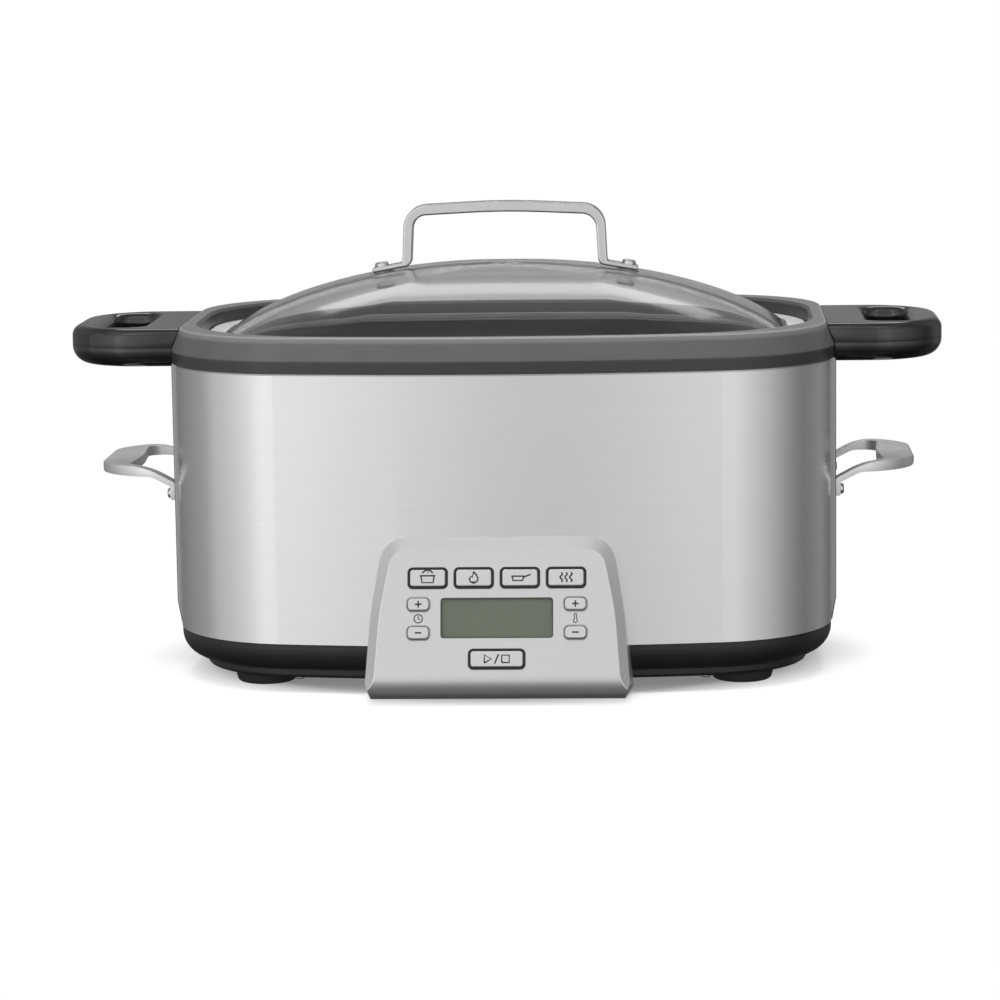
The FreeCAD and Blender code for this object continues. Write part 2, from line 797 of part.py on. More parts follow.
def inner_liner():
    """A sheet pan round the pot, hung by its flange on the housing's top edge."""
    body = new_body("inner_liner")
    flange = plan_sketch(body, d.housing_top, 0.15)
    pad(body, flange, d.liner_sheet)
    well = plan_sketch(body, d.liner_floor, d.liner_inset)
    pad(body, well, d.housing_top - d.liner_floor)
    hollow = plan_sketch(body, d.housing_top + d.liner_sheet, d.liner_inset + d.liner_sheet)
    pocket(body, hollow, d.housing_top - d.liner_floor)
    stem = sketch(body)
    circle(stem, 0.0, 0.0, d.sensor_stem + 1.0)
    pocket(body, stem, d.liner_floor + 5.0, reverse=True)
    return keep(body, "inner_liner")


def heating_plate():
    body = new_body("heating_plate")
    pad(body, plan_sketch(body, d.plate_bottom, d.plate_inset), d.plate_top - d.plate_bottom)
    hole = sketch(body)
    circle(hole, 0.0, 0.0, d.plate_hole)
    pocket(body, hole, THROUGH, symmetric=True)
    fillet(body, level_edges(d.plate_top), 0.8)
    return keep(body, "heating_plate")


def heating_element():
    """A tubular element bent into an open loop under the plate."""
    body = new_body("heating_element")
    level = d.plate_bottom - d.element_radius - d.element_drop
    path = sketch(body, offset=level)
    x, y, gap, bend = d.element_x, d.element_y, d.element_gap, d.element_bend
    outline(path, [(gap, -y, 0.0), (x, -y, bend), (x, y, bend), (-x, y, bend), (-x, -y, bend),
                   (-gap, -y, 0.0)], closed=False)
    profile = sketch(body, "YZ_Plane", gap)
    circle(profile, -y, level, d.element_radius)
    doc.recompute()
    feature = body.newObject("PartDesign::AdditivePipe", "tube")
    feature.Profile = profile
    feature.Spine = path
    finish(feature)
    return keep(body, "heating_element")


def upright_posts(label, radius, low, high, places):
    """Equal round posts between two levels."""
    body = new_body(label + "_one", 0.0, -d.frame_shift, 0.0)
    profile = sketch(body)
    circle(profile, 0.0, 0.0, radius)
    pad(body, profile, high - low)
    return group(label, body, [spot(x, y, low) for x, y in places])


def sensor_parts():
    """A sprung temperature sensor that presses on the pot through the plate's centre."""
    floor = d.liner_floor + d.liner_sheet
    cup = new_body("sensor_cup")
    bore = d.cup_radius - d.cup_wall
    revolve(cup, [(d.sensor_stem + 0.5, floor, 0.0), (d.cup_radius, floor, 0.0),
                  (d.cup_radius, floor + d.cup_height, 0.0), (bore, floor + d.cup_height, 0.0),
                  (bore, floor + d.cup_wall, 0.0), (d.sensor_stem + 0.5, floor + d.cup_wall, 0.0)])
    keep(cup, "sensor_cup")
    under_cap = d.plate_top - d.sensor_cap_height
    spring = new_body("sensor_spring")
    inner = d.spring_radius - d.spring_wire
    low = floor + d.cup_wall
    revolve(spring, [(inner, low, 0.0), (d.spring_radius, low, 0.0), (d.spring_radius, under_cap, 0.0),
                     (inner, under_cap, 0.0)])
    keep(spring, "sensor_spring")
    cap = new_body("sensor_cap")
    revolve(cap, [(0.0, d.sensor_tail, 0.0), (d.sensor_stem, d.sensor_tail, 0.0),
                  (d.sensor_stem, under_cap, 0.0), (d.sensor_radius, under_cap, 0.0),
                  (d.sensor_radius, d.plate_top, 1.2), (0.0, d.plate_top, 0.0)])
    keep(cap, "sensor_cap")


def thermal_fuse():
    item = doc.addObject("Part::Cylinder", "thermal_fuse")
    bind(item, "Radius", d.fuse_radius)
    bind(item, "Height", d.fuse_length)
    place = spot(-(d.fuse_length / 2), d.fuse_y, d.plate_bottom - d.fuse_radius - 0.1,
                 FreeCAD.Rotation(FreeCAD.Vector(0, 1, 0), 90.0))
    item.Placement = place
    return keep(item, "thermal_fuse")


# Power electronics and the cord gland.

def block(label, x, y, z, width, depth, height):
    """A plain box standing at z, centred on x, y."""
    body = new_body(label, x, y, z)
    profile = sketch(body)
    rectangle(profile, 0.0, 0.0, width, depth)
    pad(body, profile, height)
    return keep(body, label)


def power_electronics():
    middle = (d.power_board_front + d.power_board_back) / 2
    depth = d.power_board_back - d.power_board_front
    level = d.power_board_level
    block("power_board", 0.0, middle, level, d.power_board_x, depth, d.board_thickness)
    top = level + d.board_thickness
    block("power_relay", -(d.power_board_x * 0.3), middle, top, d.relay_x, d.relay_y, d.relay_height)
    block("power_transformer", d.power_board_x * 0.25, middle, top, d.transformer_x, d.transformer_y,
          d.transformer_height)
    half = d.power_board_x / 2 - 5.0
    places = [(half * u, middle + (depth / 2 - 5.0) * v) for u in (-1, 1) for v in (-1, 1)]
    upright_posts("board_posts", d.board_post, d.cover_bottom + d.cover_floor, level, places)


def cord_gland():
    """A flanged bush for the supply cord in the middle of the housing's back."""
    body = new_body("cord_gland", 0.0, d.half_depth, d.gland_z)
    body.Placement.Rotation = FreeCAD.Rotation(FreeCAD.Vector(1, 0, 0), -90.0)
    inside = d.sheet + 0.2
    revolve(body, [(d.gland_bore, -(inside + d.gland_inside), 0.0),
                   (d.gland_body + 2.0, -(inside + d.gland_inside), 1.0),
                   (d.gland_body + 2.0, -inside, 0.0), (d.gland_body, -inside, 0.0),
                   (d.gland_body, 0.05, 0.0), (d.gland_flange, 0.05, 0.0),
                   (d.gland_flange, d.gland_proud, 1.2), (d.gland_bore, d.gland_proud, 0.0)])
    return keep(body, "cord_gland")


def ribbon_cable():
    """The flat lead from the control board down to the power board."""
    body = new_body("ribbon_cable")
    t, bend = d.ribbon_thickness, d.ribbon_bend
    start = d.panel_front + 20.8
    profile = sketch(body, "YZ_Plane")
    outline(profile, [(start, d.ribbon_level, 0.0),
                      (d.ribbon_back, d.ribbon_level, bend),
                      (d.ribbon_back, d.ribbon_low, bend),
                      (d.ribbon_end, d.ribbon_low, 0.0),
                      (d.ribbon_end, d.ribbon_low + t, 0.0),
                      (d.ribbon_back + t, d.ribbon_low + t, bend - t),
                      (d.ribbon_back + t, d.ribbon_level + t, bend + t),
                      (start, d.ribbon_level + t, 0.0)])
    pad(body, profile, d.ribbon_width, symmetric=True)
    return keep(body, "ribbon_cable")


# Pot and its handles.

def pot_hollow():
    """The space inside the pot: cooking space, ledge and the bevelled inner lip."""
    body = new_body("pot_hollow")
    floor = d.pot_bottom + d.pot_floor
    low = plan_sketch(body, floor, d.pot_inside_inset + d.pot_draft)
    loft(body, [plan_sketch(body, d.ledge_level, d.pot_inside_inset), low])
    fillet(body, level_edges(floor), d.pot_round - d.pot_floor)
    bevel = d.lip_top - d.lip_round
    loft(body, [lid_plan(body, d.ledge_level, d.ledge_inset), lid_plan(body, bevel, d.lip_inner_inset)])
    wider = d.lip_inner_inset - d.lip_round * 0.8
    loft(body, [lid_plan(body, bevel, d.lip_inner_inset), lid_plan(body, d.lip_top, wider)])
    pad(body, lid_plan(body, d.lip_top, wider), as_size(2.0))
    return body


def cooking_pot():
    """A cast pot: sloped rim with a lip, a ledge for the lid, a tapering wall and handle lugs."""
    body = new_body("pot_solid")
    grown = -d.rim_overhang
    pad(body, plan_sketch(body, d.rim_bottom, grown), d.rim_crease - d.rim_bottom)
    loft(body, [plan_sketch(body, d.rim_crease, grown), plan_sketch(body, d.lip_top, d.lip_outer_inset)])
    wall_low = d.pot_wall_inset + d.pot_draft
    loft(body, [plan_sketch(body, d.rim_bottom, d.pot_wall_inset), plan_sketch(body, d.pot_bottom, wall_low)])
    fillet(body, level_edges(d.pot_bottom), d.pot_round)
    fillet(body, level_edges(d.lip_top), d.lip_round)
    lugs = sketch(body, offset=d.pot_handle_parting)
    root = d.half_length - 4.0
    for side in (-1, 1):
        rectangle(lugs, (root + d.lug_reach) / 2 * side, 0.0, d.lug_reach - root, d.lug_half_width * 2, 3.0)
    pad(body, lugs, d.lug_thickness)
    holes = sketch(body)
    for x, y in pot_screw_spots():
        circle(holes, x, y, d.screw_radius + d.screw_play)
    pocket(body, holes, THROUGH, symmetric=True)
    return keep(boolean("Cut", "pot_cut", body, pot_hollow()), "cooking_pot")


def pot_screw_spots(sides=(-1, 1)):
    return [(d.pot_screw_x * u, d.pot_screw_y * v) for u in sides for v in (-1, 1)]


def handle_shell(name, side, low, high, step):
    """One half of a pot handle, solid in plan with a rounded finger hole."""
    body = new_body(name)
    root = d.half_length - 14.0
    plan_form = sketch(body, offset=low)
    wide, corner = d.pot_handle_half_width, d.pot_handle_corner
    corners = [(root, -wide, 0.0), (d.pot_handle_reach, -wide, corner), (d.pot_handle_reach, wide, corner),
               (root, wide, 0.0)]
    outline(plan_form, [(x * side, y, radius) for x, y, radius in corners])
    rectangle(plan_form, d.finger_hole_x * side, 0.0, d.finger_hole_width - step * 2,
              d.finger_hole_length - step * 2, d.finger_hole_corner - step)
    pad(body, plan_form, high - low)
    return body


def pot_handle(side_name, side, envelope):
    """A handle of two shells that clamp the pot's lug, trimmed to stand clear of the rim."""
    upper = handle_shell(side_name + "_upper_block", side, d.pot_handle_parting, d.pot_handle_top,
                         as_size(0.0))
    fillet(upper, level_edges(d.pot_handle_top), d.pot_handle_edge)
    recess = sketch(upper, offset=d.pot_handle_parting)
    play = d.shell_play
    root = d.half_length - 14.0
    rectangle(recess, (root + d.lug_reach + play) / 2 * side, 0.0, d.lug_reach + play - root,
              (d.lug_half_width + play) * 2, 3.0)
    pocket(upper, recess, d.lug_thickness + play, reverse=True)
    lower = handle_shell(side_name + "_lower_block", side, d.pot_handle_bottom, d.pot_handle_parting,
                         d.finger_hole_step)
    fillet(lower, lambda edge: level_edges(d.pot_handle_bottom)(edge)
           and not inside_finger_hole(edge), d.pot_handle_belly)
    for body, depth, reverse in ((upper, d.lug_thickness + 4.0, True), (lower, as_size(THROUGH), False)):
        holes = sketch(body, offset=d.pot_handle_parting)
        for x, y in pot_screw_spots((side,)):
            circle(holes, x, y, d.screw_radius + 0.05)
        pocket(body, holes, depth, reverse=reverse)
    for body, part in ((upper, "top"), (lower, "bottom")):
        trimmed = boolean("Cut", "%s_%s_trim" % (side_name, part), body, envelope)
        keep(trimmed, "%s_pot_handle_%s" % (side_name, part))


def inside_finger_hole(edge):
    centre = edge.CenterOfMass
    near_x = abs(abs(centre.x) - d.finger_hole_x.value) < d.finger_hole_width.value / 2 + 0.1
    return near_x and abs(centre.y) < d.finger_hole_length.value / 2 + 0.1


def pot_handle_screws():
    length = d.pot_handle_parting - d.pot_handle_bottom + d.lug_thickness + 3.5
    source = screw("pot_screw", d.screw_radius, length, d.screw_head, d.screw_head_height)
    return group("pot_handle_screws", source, [spot(x, y, d.pot_handle_bottom) for x, y in pot_screw_spots()])


# Lid.

def dome_level(x, drop=0.0, narrow=0.0):
    """Height of the dome's rounded profile at a distance from its middle."""
    reach = d.dome_reach - narrow
    factor = (1.0 - (as_size(x).value / reach.value) ** 2) ** d.dome_fullness.value
    return d.dome_base - drop + d.dome_rise * factor


def dome_sections(body, inset, drop, narrow):
    """Plans that shrink towards the top along the dome's profile."""
    edge = d.half_length - inset
    return [lid_plan(body, dome_level(edge * k, drop, narrow), inset, scale=k) for k in DOME_STEPS]


def lid_glass(bores):
    body = new_body("lid_glass_blank")
    thick = d.glass_thickness
    shoulder = dome_level(d.half_length - d.glass_inset)
    pad(body, lid_plan(body, d.glass_seat, d.glass_inset), shoulder - d.glass_seat)
    loft(body, dome_sections(body, d.glass_inset, as_size(0.0), as_size(0.0)))
    loft(body, dome_sections(body, d.glass_inset + thick, thick, thick), cut=True)
    return keep(boolean("Cut", "lid_glass_drilled", body, bores), "lid_glass")


def lid_rim():
    """A rolled steel rim: a flange that rests on the pot's ledge and a channel round the glass."""
    body = new_body("lid_rim")
    inner = d.glass_inset - 0.15
    outer = inner - d.rim_channel
    hook_top = d.glass_seat - 0.1
    flange = lid_plan(body, d.lid_rim_level, d.lid_rim_inset, inner)
    pad(body, flange, d.lid_rim_thickness)
    top = d.lid_rim_level + d.lid_rim_thickness
    rounded = [edge for face in body.Shape.Faces if level_edges(top)(face) for edge in face.OuterWire.Edges]
    fillet(body, lambda edge: any(edge.CenterOfMass.isEqual(
        other.CenterOfMass - FreeCAD.Vector(0, d.frame_shift.value, 0), 0.01) for other in rounded), 0.7)
    hook = lid_plan(body, hook_top - d.rim_channel, outer, inner + d.rim_hook)
    pad(body, hook, d.rim_channel)
    pad(body, lid_plan(body, hook_top, outer, inner), d.rim_web_top - hook_top)
    return keep(body, "lid_rim")


def foot_frame(side):
    """Where a lid-handle foot stands: the dome's point there, and its outward slope."""
    x = d.lid_handle_foot
    k = x.value / d.dome_reach.value
    power = d.dome_fullness.value
    steepness = 2.0 * power * k * (1.0 - k * k) ** (power - 1.0)
    slope = math.atan(steepness * d.dome_rise.value / d.dome_reach.value)
    return x * side, dome_level(x), slope


def lid_bores():
    """Drillings for the handle screws, square to the dome."""
    tools = []
    for name, side in SIDES:
        x, z, slope = foot_frame(side)
        body = new_body("lid_bore_" + name, x, 0.0, z)
        body.Placement.Rotation = FreeCAD.Rotation(FreeCAD.Vector(0, 1, 0), math.degrees(slope) * side)
        profile = sketch(body, offset=-12.0)
        circle(profile, 0.0, 0.0, d.lid_screw_radius + 0.2)
        pad(body, profile, as_size(24.0))
        tools.append(body)
    return boolean("Fuse", "lid_bores", *tools)


def lid_handle(bores):
    """A flat bar bent into a bridge, with feet that follow the dome."""
    body = new_body("lid_handle_bar")
    x0, z0, slope = foot_frame(1)
    along, up = math.cos(slope), math.sin(slope)
    under, over = d.lid_washer + 0.1, d.lid_washer + 0.1 + d.lid_foot_thickness

    def toe(height):
        return x0 + d.lid_handle_toe * along + height * up, z0 - d.lid_handle_toe * up + height * along

    def heel(x, height):
        return z0 + height * along + (x0 + height * up - x) * math.tan(slope)

    half = d.lid_handle_post_thickness / 2
    outside, inside = d.lid_handle_post + half, d.lid_handle_post - half
    lean = d.lid_foot_lean
    shoulder = d.lid_handle_top - d.lid_handle_arch
    inner_top = d.lid_handle_top - d.lid_handle_bar
    inner_shoulder = shoulder - d.lid_handle_bar + 0.4
    bend, foot_bend = d.lid_handle_bend, d.lid_foot_bend
    inner_bend = bend - d.lid_handle_post_thickness
    right = [(*toe(over), 1.2), (outside, heel(outside, over), foot_bend),
             (outside - lean, shoulder, bend)]
    right_under = [(inside - lean, inner_shoulder, inner_bend),
                   (inside, heel(inside, under), foot_bend + d.lid_foot_thickness), (*toe(under), 1.2)]
    arch = 420.0
    crown, soffit = (as_size(0.0), d.lid_handle_top, arch), (as_size(0.0), inner_top, arch)
    mirrored = [(-x, z, radius) for x, z, radius in reversed(right)]
    mirrored_under = [(-x, z, radius) for x, z, radius in reversed(right_under)]
    profile = sketch(body, "XZ_Plane")
    outline(profile, right + [crown] + mirrored + mirrored_under + [soffit] + right_under)
    pad(body, profile, d.lid_handle_width, symmetric=True)
    half_width = d.lid_handle_width.value / 2
    fillet(body, lambda edge: abs(abs(edge.CenterOfMass.y) - half_width) < 0.01, d.lid_handle_edge)
    return keep(boolean("Cut", "lid_handle_drilled", body, bores), "lid_handle")


def lid_fixings():
    """Washer, screw and domed nut at each foot, square to the dome."""
    washer = new_body("washer", 0.0, -d.frame_shift, 0.0)
    hole = d.lid_screw_radius + 0.1
    revolve(washer, [(hole, 0.05, 0.0), (d.lid_washer_radius, 0.05, 0.0),
                     (d.lid_washer_radius, d.lid_washer + 0.05, 0.0), (hole, d.lid_washer + 0.05, 0.0)])
    bolt = new_body("bolt", 0.0, -d.frame_shift, 0.0)
    seat = d.lid_washer + 0.15 + d.lid_foot_thickness
    tail = d.glass_thickness + 0.8 + d.lid_nut_height * 0.6
    revolve(bolt, [(0.0, -tail, 0.0), (d.lid_screw_radius, -tail, 0.3), (d.lid_screw_radius, seat, 0.0),
                   (d.lid_screw_head, seat, 0.0), (d.lid_screw_head, seat + d.lid_screw_head_height, 1.5),
                   (0.0, seat + d.lid_screw_head_height, 0.0)])
    nut = new_body("nut", 0.0, -d.frame_shift, 0.0)
    top, low = -(d.glass_thickness + 0.8), -(d.glass_thickness + 0.8 + d.lid_nut_height)
    roof = -(tail + 0.15)
    bore = d.lid_screw_radius + 0.05
    revolve(nut, [(0.0, low, 0.0), (d.lid_nut_radius, low, 1.8), (d.lid_nut_radius, top, 0.0),
                  (bore, top, 0.0), (bore, roof, 0.0), (0.0, roof, 0.0)])
    places = []
    for name, side in SIDES:
        x, z, slope = foot_frame(side)
        turn = FreeCAD.Rotation(FreeCAD.Vector(0, 1, 0), math.degrees(slope) * side)
        places.append(spot(x, 0.0, z, turn))
    group("lid_handle_washers", washer, places)
    group("lid_handle_screws", bolt, places)
    group("lid_handle_nuts", nut, places)


# Control panel.

def panel_side(body, front, floor, chin):
    """The panel's side profile: sloping face, rounded chin and flat floor."""
    tilt = math.radians(d.panel_tilt.value)
    top = d.panel_face_height + d.panel_bevel_top * 2
    profile = sketch(body, "YZ_Plane")
    lean = math.tan(tilt)
    back = d.panel_front + d.panel_reach
    outline(profile, [(back, floor, 0.0), (front - (d.panel_foot - floor) * lean, floor, chin),
                      (front + top * math.sin(tilt), d.panel_foot + top * math.cos(tilt), 0.0),
                      (back, d.panel_foot + top * math.cos(tilt), 0.0)])
    pad(body, profile, as_size(THROUGH), symmetric=True)
    return body


def face_outline(item, grow_side, grow_top):
    """The face seen square on: sides that spread and bow a little outwards, round upper corners."""
    low, high = -d.panel_drop, d.panel_face_height
    right = [(d.panel_half_bottom + grow_side, low, 0.0),
             (d.panel_half_middle + grow_side, high * 0.5, d.panel_side_bow),
             (d.panel_half_top + grow_side, high + grow_top, d.panel_corner + grow_side)]
    outline(item, right + [(-x, y, radius) for x, y, radius in reversed(right)])


def panel_form(name, wall):
    """Bevelled face and side walls of the panel, or of its hollow when a wall is taken off."""
    body = panel_body(name)
    steps = ((as_size(0.0), as_size(0.0), as_size(0.0)),
             (d.panel_bevel_depth, d.panel_bevel, d.panel_bevel_top),
             (d.panel_depth, d.panel_bevel + d.panel_flare, d.panel_bevel_top + d.panel_flare))
    sections = []
    for depth, grow_side, grow_top in steps:
        section = sketch(body, offset=-depth)
        face_outline(section, grow_side - wall, grow_top - wall)
        sections.append(section)
    loft(body, sections).Ruled = True
    doc.recompute()
    return body


def panel_toes(name, wall):
    """What is taken off the panel's two lower corners, or off its hollow behind a wall."""
    body = panel_body(name)
    body.AllowCompound = True
    wide = d.panel_half_bottom + d.panel_bevel - wall
    narrow = wide - d.panel_toe_width
    low = -d.panel_toe_height
    lean = d.panel_toe_width / d.panel_toe_height
    for side in (-1, 1):
        corner = sketch(body, offset=-d.panel_depth - 5.0)
        points = [(wide, as_size(0.0)), (wide + 20.0, as_size(0.0)), (wide + 20.0, low * 2),
                  (narrow + low * lean, low * 2)]
        outline(corner, [(u * side, v, 0.0) for u, v in points])
        pad(body, corner, d.panel_depth + 10.0)
    return body


def panel_openings():
    """Everything that is cut through the face: the window and the key holes."""
    body = panel_body("panel_openings")
    body.AllowCompound = True
    window = sketch(body, offset=-8.0)
    rectangle(window, 0.0, d.lens_v, d.lens_width, d.lens_height, d.lens_corner)
    pad(body, window, as_size(16.0))
    for name, u, v, width, height, corner, collar in keys():
        hole = sketch(body, offset=-8.0)
        grow = (collar + d.key_play + 0.1) * 2
        rectangle(hole, u, v, width + grow, height + grow, corner + collar + d.key_play)
        pad(body, hole, as_size(16.0))
    return body


def keys():
    """Name, place, size, corner and collar of the nine keys."""
    result = []
    for i in range(4):
        result.append(("button_mode_%d" % (i + 1), d.mode_pitch * (i - 1.5), d.mode_v,
                       d.mode_width, d.mode_height, d.mode_corner, d.collar_wide))
    for name, side in (("time", -1), ("temp", 1)):
        for word, v in (("up", 0.5), ("down", -0.5)):
            result.append(("button_%s_%s" % (name, word), d.step_u * side, d.step_v + d.step_pitch * v,
                           d.step_width, d.step_height, d.step_corner, d.collar_narrow))
    result.append(("button_start_stop", as_size(0.0), d.start_v, d.start_width, d.start_height,
                   d.start_corner, d.collar_wide))
    return result


def boss_spots():
    return [(-d.boss_u, d.boss_low), (d.boss_u, d.boss_low), (as_size(0.0), d.boss_high)]


def panel_housing(envelope, base):
    """The silver panel moulding: a hollow wedge trimmed to the housing and the base."""
    flare = panel_form("panel_outer", as_size(0.0))
    side = panel_side(new_body("panel_side"), d.panel_front, d.panel_floor, d.panel_chin)
    solid = boolean("Common", "panel_solid", flare, side)
    inner_flare = panel_form("panel_inner", d.panel_wall)
    lean = math.cos(math.radians(d.panel_tilt.value))
    inner_side = panel_side(new_body("panel_inner_side"), d.panel_front + d.panel_wall / lean,
                            d.panel_floor + d.panel_wall, d.panel_chin - d.panel_wall)
    hollow = boolean("Common", "panel_hollow", inner_flare, inner_side)
    edge = doc.addObject("Part::Fillet", "panel_edges")
    edge.Base = solid
    doc.recompute()
    edge.Edges = [(index, d.panel_edge.value, d.panel_edge.value) for index in face_edges(solid.Shape)]
    doc.recompute()
    solid = boolean("Cut", "panel_cut_toes", edge, panel_toes("panel_toes", 0.0))
    hollow = boolean("Cut", "panel_hollow_toes", hollow, panel_toes("hollow_toes", d.panel_wall))
    shell = boolean("Cut", "panel_shell", solid, hollow)
    bosses = panel_body("panel_bosses")
    bosses.AllowCompound = True
    spots = sketch(bosses, offset=-d.control_board_depth)
    for u, v in boss_spots():
        circle(spots, u, v, d.boss_radius)
    pad(bosses, spots, d.control_board_depth - d.panel_wall * 0.5)
    bores = sketch(bosses, offset=-d.control_board_depth)
    for u, v in boss_spots():
        circle(bores, u, v, d.screw_radius * 0.75 + 0.05)
    pocket(bosses, bores, d.control_board_depth - d.panel_wall - 0.6, reverse=True)
    shell = boolean("Fuse", "panel_with_bosses", shell, bosses)
    shell = boolean("Cut", "panel_cut_housing", shell, envelope)
    shell = boolean("Cut", "panel_cut_base", shell, base)
    return keep(boolean("Cut", "panel_cut_openings", shell, panel_openings()), "panel_housing")


def face_edges(shape):
    """Edges between the sloping face, with its chin, and the flared sides and top."""
    tilt = math.radians(d.panel_tilt.value)
    normal = FreeCAD.Vector(0, -math.cos(tilt), math.sin(tilt))
    origin = FreeCAD.Vector(0, d.panel_front.value + d.frame_shift.value, d.panel_foot.value)
    found = []
    for index, edge in enumerate(shape.Edges, start=1):
        middle = edge.valueAt((edge.FirstParameter + edge.LastParameter) / 2)
        depth = (middle - origin).dot(normal)
        if abs(depth) < 0.02 and abs((edge.Vertexes[0].Point - origin).dot(normal)) < 0.02:
            upper = middle.z > d.panel_foot.value + 40.0
            if upper or edge.BoundBox.XLength < d.panel_half_bottom.value * 1.9:
                found.append(index)
    return found


def button_frame():
    """A black carrier behind the face whose collars line the key holes."""
    body = panel_body("button_frame")
    back = d.panel_wall + 0.1 + d.frame_plate
    plate = sketch(body, offset=-back)
    low, high = d.start_v - 8.6, d.boss_high + d.boss_radius + 1.2
    rectangle(plate, 0.0, (low + high) / 2, (d.step_u + 8.6) * 2, high - low, 8.0)
    rectangle(plate, 0.0, d.lens_v, d.lens_width + 1.0, d.lens_height + 1.0, d.lens_corner)
    for u, v in boss_spots():
        circle(plate, u, v, d.boss_radius + 0.2)
    pad(body, plate, d.frame_plate)
    for name, u, v, width, height, corner, collar in keys():
        grow = d.key_play * 2
        outer = grow + collar * 2
        ring = sketch(body, offset=-(d.panel_wall + 0.1))
        rectangle(ring, u, v, width + outer, height + outer, corner + d.key_play + collar)
        pad(body, ring, d.panel_wall + 0.1 + d.collar_proud)
        hole = sketch(body)
        rectangle(hole, u, v, width + grow, height + grow, corner + d.key_play)
        pocket(body, hole, THROUGH, symmetric=True)
    return keep(body, "button_frame")


def buttons():
    """Nine keys, each with a rounded cap, a retaining flange and a short stem."""
    stop = d.panel_wall + 0.1 + d.frame_plate + 0.2
    for name, u, v, width, height, corner, collar in keys():
        body = panel_body(name)
        cap = sketch(body, offset=-stop)
        rectangle(cap, u, v, width, height, corner)
        pad(body, cap, stop + d.key_proud)
        fillet(body, level_edges(d.key_proud), d.key_round)
        flange = sketch(body, offset=-stop)
        grow = (d.key_play + d.key_flange) * 2
        rectangle(flange, u, v, width + grow, height + grow, corner + d.key_play)
        pad(body, flange, d.key_flange_thickness, reverse=True)
        stem = sketch(body, offset=-(stop + d.key_flange_thickness))
        circle(stem, u, v, 1.6)
        length = d.control_board_depth - d.switch_height - d.key_travel - 0.1 - stop - d.key_flange_thickness
        pad(body, stem, length, reverse=True)
        keep(body, name)


def panel_plate(label, u, v, width, height, corner, front, back):
    """A flat rounded piece between two depths behind the face."""
    body = panel_body(label)
    profile = sketch(body, offset=-as_size(back))
    rectangle(profile, u, v, width, height, corner)
    pad(body, profile, as_size(back) - front)
    return body


def display():
    fit = 0.3
    back = d.lens_sunk + d.lens_thickness
    lens = panel_plate("display_lens", 0.0, d.lens_v, d.lens_width - fit, d.lens_height - fit,
                       d.lens_corner - 0.1, d.lens_sunk, back)
    keep(lens, "display_lens")
    front = back + 0.2
    wide, high = d.lens_width + d.lcd_border, d.lens_height + d.lcd_border
    module = panel_plate("lcd_module", 0.0, d.lens_v, wide, high, 1.0, front, front + d.lcd_thickness)
    keep(module, "lcd_module")


def control_board():
    low, high = d.control_board_bottom, d.control_board_top
    front = d.control_board_depth + 0.05
    body = panel_plate("control_board", 0.0, (low + high) / 2, d.control_board_half_width * 2, high - low,
                       2.0, front, front + d.board_thickness)
    holes = sketch(body)
    for u, v in boss_spots():
        circle(holes, u, v, d.screw_radius * 0.75 + 0.2)
    pocket(body, holes, THROUGH, symmetric=True)
    return keep(body, "control_board")


def panel_group(label, source, places):
    """Copies of a source at points of the panel's frame."""
    tilt = FreeCAD.Rotation(FreeCAD.Vector(1, 0, 0), 90.0 - d.panel_tilt.value)
    frame = spot(0.0, d.panel_front, d.panel_foot, tilt)
    moved = []
    for u, v, w in places:
        moved.append(frame.multiply(FreeCAD.Placement(FreeCAD.Vector(u.value, v.value, w.value),
                                                      FreeCAD.Rotation())))
    return group(label, source, moved)


def tact_switches():
    body = new_body("tact_switch", 0.0, -d.frame_shift, 0.0)
    profile = sketch(body)
    rectangle(profile, 0.0, 0.0, d.switch_size, d.switch_size * 0.9)
    pad(body, profile, d.switch_height * 0.6)
    plunger = sketch(body, offset=d.switch_height * 0.6)
    circle(plunger, 0.0, 0.0, 1.6)
    pad(body, plunger, d.switch_height * 0.4)
    places = [(u, v, -d.control_board_depth) for name, u, v, *rest in keys()]
    return panel_group("tact_switches", body, places)


def board_screws():
    length = d.control_board_depth - d.panel_wall - 1.4 + d.board_thickness
    source = screw("board_screw", d.screw_radius * 0.75, length, d.screw_head * 0.8,
                   d.screw_head_height * 0.8)
    depth = -(d.control_board_depth + 0.1 + d.board_thickness)
    return panel_group("board_screws", source, [(u, v, depth) for u, v in boss_spots()])


def check_and_write():
    """Stop on any failed object, then write every sub-part."""
    doc.recompute()
    for item in doc.Objects:
        if "Invalid" in item.State or "Error" in item.State:
            raise ValueError("failed: " + item.Label)
    os.makedirs("parts", exist_ok=True)
    for item in nodes:
        shape = item.Shape
        if shape.isNull() or not shape.isValid() or not shape.Solids:
            raise ValueError("bad shape: " + item.Label)
        shape.exportStep("parts/%s.step" % item.Label)
    whole = FreeCAD.BoundBox()
    for item in nodes:
        whole.add(item.Shape.BoundBox)
    print("%d nodes" % len(nodes), whole)


